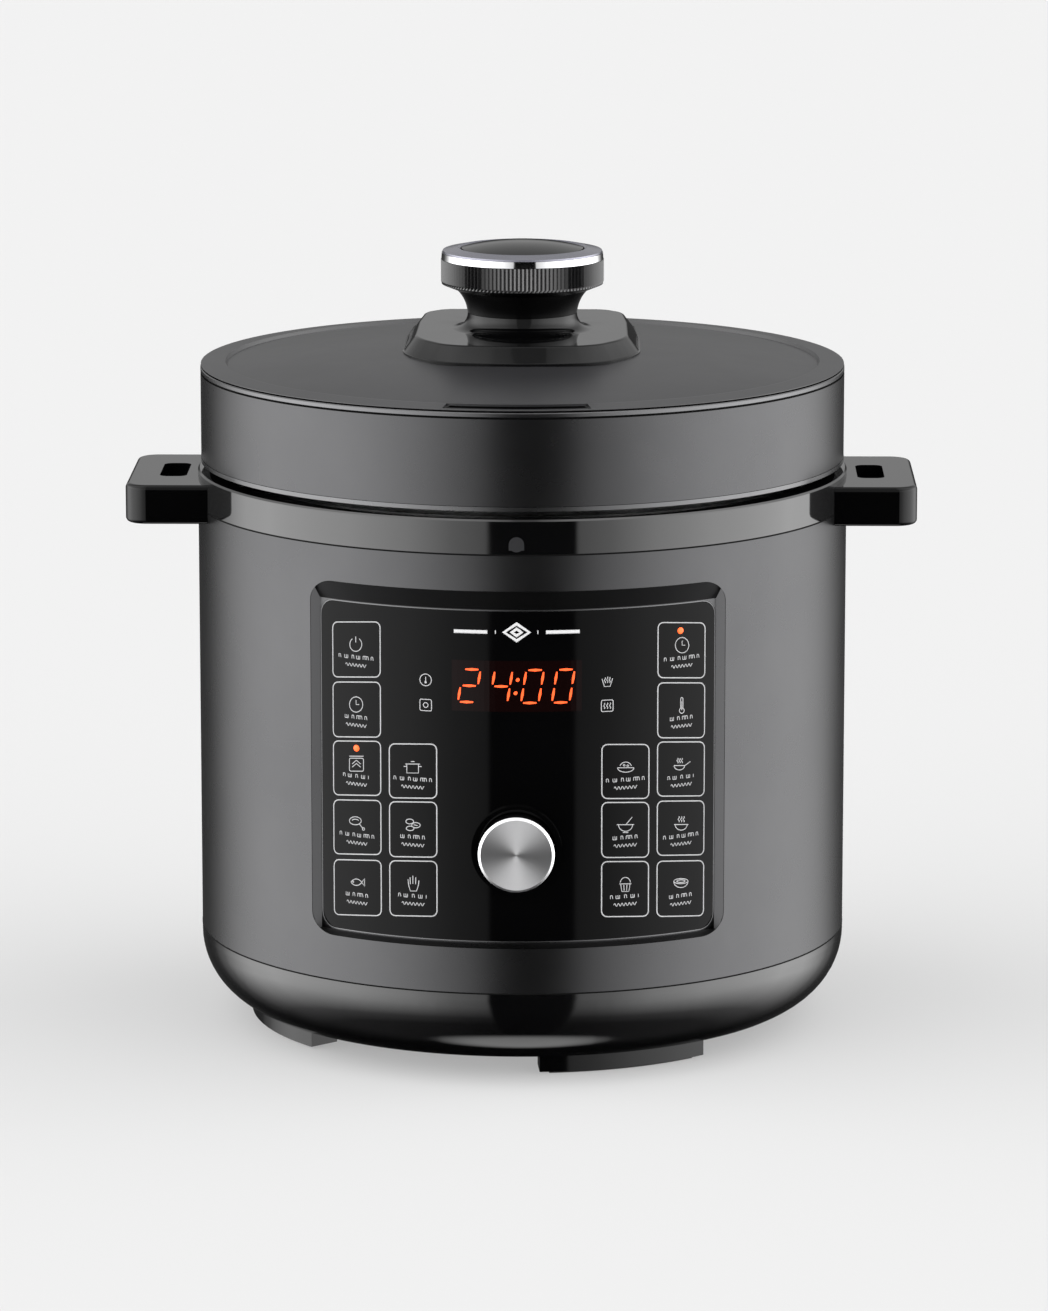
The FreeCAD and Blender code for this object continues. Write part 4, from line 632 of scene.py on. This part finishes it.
def makePrint():
    outlines, drawings, marks, ripples = [], [], [], []
    for (x0, x1), rows, names in keyIcons:
        x = (x0 + x1) / 2
        for index, ((y0, y1), name) in enumerate(zip(rows, names)):
            strokes = [placed(s, x, y1 - panel["iconDrop"], panel["iconSize"]) for s in icons[name]]
            outlines += levelled([roundedFrame(x0, x1, y0, y1, panel["keyCorner"])], x)
            drawings += levelled(strokes, x)
            marks += captionTicks(x, y1, captions[index % len(captions)])
            ripples.append(captionRipple(x, y1))
    for name, x, y in statusIcons:
        drawings += [placed(s, x, y, panel["statusSize"]) for s in icons[name]]
    printStrokes("keyOutlines", outlines, panel["keyLine"], "printGrey")
    printStrokes("keyIcons", drawings, panel["iconLine"], "printGrey")
    printStrokes("keyCaptions", marks, caption["line"], "printGrey")
    printStrokes("keyRipples", ripples, ripple["line"], "printGrey")
    edgeLine = roundedFrame(*panel["edge"], panel["edgeCorner"])
    printStrokes("fasciaEdge", [edgeLine], panel["edgeWidth"], "trim_metal")
    printStrokes("panelOrnament", ornament, panel["ornamentLine"], "printWhite")


segments = {
    "a": ((0.0, 1.0), 0), "d": ((0.0, -1.0), 0), "g": ((0.0, 0.0), 0),
    "b": ((1.0, 0.5), 90), "c": ((1.0, -0.5), 90), "e": ((-1.0, -0.5), 90), "f": ((-1.0, 0.5), 90),
}
digits = {"2": "abged", "4": "fgbc", "0": "abcdef"}
display = dict(z=182.6, half=(3.9, 7.4), line=1.05, fill=0.88, slant=0.16,
               hexagonHeight=1.73,  # of a hexagon with radius 1, as a segment starts
               places=(("2", -21.1), ("4", -6.9), ("0", 7.0), ("0", 20.7)),
               dots=(-3.0, 3.0), dotRadius=0.85, dotSteps=12,
               digitLift=0.08, digitDepth=0.04,
               windowHalf=(29.0, 11.5), windowSteps=(24, 2), windowLift=0.03, windowDepth=0.03)


def finishOnPanel(bm, name, depth, lift, material):
    bmesh.ops.translate(bm, vec=(0, display["z"], 0), verts=bm.verts)
    bmesh.ops.solidify(bm, geom=bm.faces, thickness=depth)
    bmesh.ops.recalc_face_normals(bm, faces=bm.faces)
    wrapOnPanel(bm, panel["radius"] + lift, 1.0)
    finishPiece(name, bm, material, "housing", smooth=False)


def makeDisplay():
    bm = bmesh.new()
    wide, tall = display["half"]
    for digit, x in display["places"]:
        for key in digits[digit]:
            (sx, sy), turn = segments[key]
            length = (wide if turn == 0 else tall / 2) * display["fill"]
            made = bmesh.ops.create_circle(bm, cap_ends=True, segments=6, radius=1.0)["verts"]
            bmesh.ops.scale(bm, vec=(length, display["line"] / display["hexagonHeight"], 1), verts=made)
            upright = Matrix.Rotation(math.radians(turn), 3, "Z")
            bmesh.ops.rotate(bm, cent=(0, 0, 0), matrix=upright, verts=made)
            bmesh.ops.translate(bm, vec=(x + sx * wide, sy * tall, 0), verts=made)
    for y in display["dots"]:
        made = bmesh.ops.create_circle(bm, cap_ends=True, segments=display["dotSteps"],
                                       radius=display["dotRadius"])["verts"]
        bmesh.ops.translate(bm, vec=(0, y, 0), verts=made)
    lean = Matrix(((1, display["slant"], 0), (0, 1, 0), (0, 0, 1)))
    bmesh.ops.transform(bm, matrix=lean.to_4x4(), verts=bm.verts)
    finishOnPanel(bm, "displayDigits", display["digitDepth"], display["digitLift"],
                  "display_red")
    bm = bmesh.new()
    across, up = display["windowSteps"]
    bmesh.ops.create_grid(bm, x_segments=across, y_segments=up, size=1.0)
    bmesh.ops.scale(bm, vec=(*display["windowHalf"], 1), verts=bm.verts)
    finishOnPanel(bm, "displayWindow", display["windowDepth"], display["windowLift"],
                  "displayWindow")


keyLamp = dict(places=((-75.2, 150.4), (75.9, 204.3)), radius=1.5, flatten=0.3, steps=(24, 12))


def makeLamps():
    bm = bmesh.new()
    around, up = keyLamp["steps"]
    for x, y in keyLamp["places"]:
        made = bmesh.ops.create_uvsphere(bm, u_segments=around, v_segments=up,
                                         radius=keyLamp["radius"])["verts"]
        bmesh.ops.translate(bm, vec=(x, y, 0), verts=made)
    wrapOnPanel(bm, panel["radius"], keyLamp["flatten"])
    finishPiece("keyLamps", bm, "amber_lens", "housing")


makePrint()
makeDisplay()
makeLamps()
print("panel printed")


studio = dict(
    floorColour=(0.40, 0.40, 0.40, 1), floorGlow=0.36, floorHalf=30.0, floorSteps=4,
    wallColour=(0, 0, 0, 1), wallGlow=0.88, wallRadius=40.0, wallSteps=4, roughness=0.9,
    swing=-4.5, strength=3.0,
    # brightness round the object: degrees from straight ahead, and the light there
    around=((0, 0.0), (14.8, 0.0), (16.2, 0.24), (28, 0.36), (44, 0.66), (67, 0.93), (88, 1.0), (104, 1.0),
            (118, 0.76), (130, 0.40), (140, 0.14), (150, 0.03), (158, 0.015), (180, 0.015)),
    # brightness from straight below (0) to straight above (1)
    heights=((0.0, 0.01), (0.10, 0.03), (0.16, 0.12), (0.24, 0.5), (0.33, 0.92), (0.40, 1.0), (0.66, 1.0),
             (0.80, 0.5), (0.92, 0.45), (1.0, 0.45)),
    # light of every direction above the horizon, and of a patch straight below
    above=(0.0, 0.16, 0.0, 0.15), below=(-0.995, -0.95, 0.45, 0.0))


def stagePiece(name, bm, materialName, colour, glow):
    mesh = bpy.data.meshes.new(name)
    bm.to_mesh(mesh)
    bm.free()
    piece = bpy.data.objects.new(name, mesh)
    bpy.context.scene.collection.objects.link(piece)
    material, tree, shader = newMaterial(materialName)
    shader.inputs["Base Color"].default_value = colour
    shader.inputs["Roughness"].default_value = studio["roughness"]
    shader.inputs["Specular IOR Level"].default_value = 0.0
    shader.inputs["Emission Color"].default_value = (1, 1, 1, 1)
    shader.inputs["Emission Strength"].default_value = glow
    mesh.materials.append(material)
    piece.visible_glossy = False
    return piece


def makeFloor():
    bm = bmesh.new()
    bmesh.ops.create_grid(bm, x_segments=studio["floorSteps"], y_segments=studio["floorSteps"],
                          size=studio["floorHalf"])
    stagePiece("floor", bm, "paper", studio["floorColour"], studio["floorGlow"])


def makeBackdrop():
    # a pale far wall that only the camera sees, for low views
    bm = bmesh.new()
    bmesh.ops.create_icosphere(bm, subdivisions=studio["wallSteps"], radius=studio["wallRadius"])
    wall = stagePiece("backdrop", bm, "wallPaint", studio["wallColour"], studio["wallGlow"])
    wall.visible_diffuse = False
    wall.visible_transmission = False
    wall.visible_shadow = False


def greyRamp(tree, source, stops, span):
    node = addNode(tree, "ShaderNodeValToRGB")
    ramp = node.color_ramp
    while len(ramp.elements) < len(stops):
        ramp.elements.new(0.5)
    for element, (position, value) in zip(ramp.elements, stops):
        element.position = position / span
        element.color = (value, value, value, 1)
    wire(tree, source, node.inputs["Fac"])
    return node.outputs["Color"]


def softStep(tree, source, limits):
    node = addNode(tree, "ShaderNodeMapRange", interpolation_type="SMOOTHSTEP")
    fromMin, fromMax, toMin, toMax = limits
    setInputs(node, FromMin=fromMin, FromMax=fromMax, ToMin=toMin, ToMax=toMax)
    wire(tree, source, node.inputs["Value"])
    return node.outputs["Result"]


def calculate(tree, operation, *sources):
    # a source is a socket, or a plain number
    node = addNode(tree, "ShaderNodeMath", operation=operation)
    for slot, source in zip(node.inputs, sources):
        if isinstance(source, (int, float)):
            slot.default_value = source
        else:
            wire(tree, source, slot)
    return node.outputs[0]


def makeWorld():
    # large soft panels to both sides: bright from the sides, dark straight ahead and straight behind
    world = bpy.data.worlds.new("studio")
    bpy.context.scene.world = world
    world.use_nodes = True
    tree = world.node_tree
    sky = tree.nodes["Background"]
    swing = addNode(tree, "ShaderNodeMapping", vector_type="VECTOR")
    setInputs(swing, Rotation=(0, 0, math.radians(studio["swing"])))
    wire(tree, addNode(tree, "ShaderNodeTexCoord").outputs["Generated"], swing.inputs["Vector"])
    apart = addNode(tree, "ShaderNodeSeparateXYZ")
    wire(tree, swing.outputs["Vector"], apart.inputs[0])
    side = calculate(tree, "ABSOLUTE", apart.outputs["X"])
    ahead = calculate(tree, "MULTIPLY", apart.outputs["Y"], -1.0)
    share = calculate(tree, "DIVIDE", calculate(tree, "ARCTAN2", side, ahead), math.pi)
    height = calculate(tree, "MULTIPLY_ADD", apart.outputs["Z"], 0.5, 0.5)
    panels = calculate(tree, "MULTIPLY", greyRamp(tree, share, studio["around"], 180),
                       greyRamp(tree, height, studio["heights"], 1))
    ends = calculate(tree, "ADD", softStep(tree, apart.outputs["Z"], studio["above"]),
                     softStep(tree, apart.outputs["Z"], studio["below"]))
    wire(tree, calculate(tree, "ADD", panels, ends), sky.inputs["Color"])
    sky.inputs["Strength"].default_value = studio["strength"]


view = dict(reach=2.8425, height=0.7315, turn=1.0, pitch=78.78, pan=-0.015, lens=170.8,
            sensor=36.0, far=100.0)


def makeCamera():
    lens = bpy.data.cameras.new("camera")
    lens.lens = view["lens"]
    lens.sensor_width = view["sensor"]
    lens.clip_end = view["far"]
    camera = bpy.data.objects.new("camera", lens)
    bpy.context.scene.collection.objects.link(camera)
    turn = math.radians(view["turn"])
    camera.location = (view["reach"] * math.sin(turn), -view["reach"] * math.cos(turn), view["height"])
    camera.rotation_euler = (math.radians(view["pitch"]), 0, turn + math.radians(view["pan"]))
    bpy.context.scene.camera = camera


makeFloor()
makeBackdrop()
makeWorld()
makeCamera()
bpy.context.scene.view_settings.view_transform = "Standard"
print("studio set")
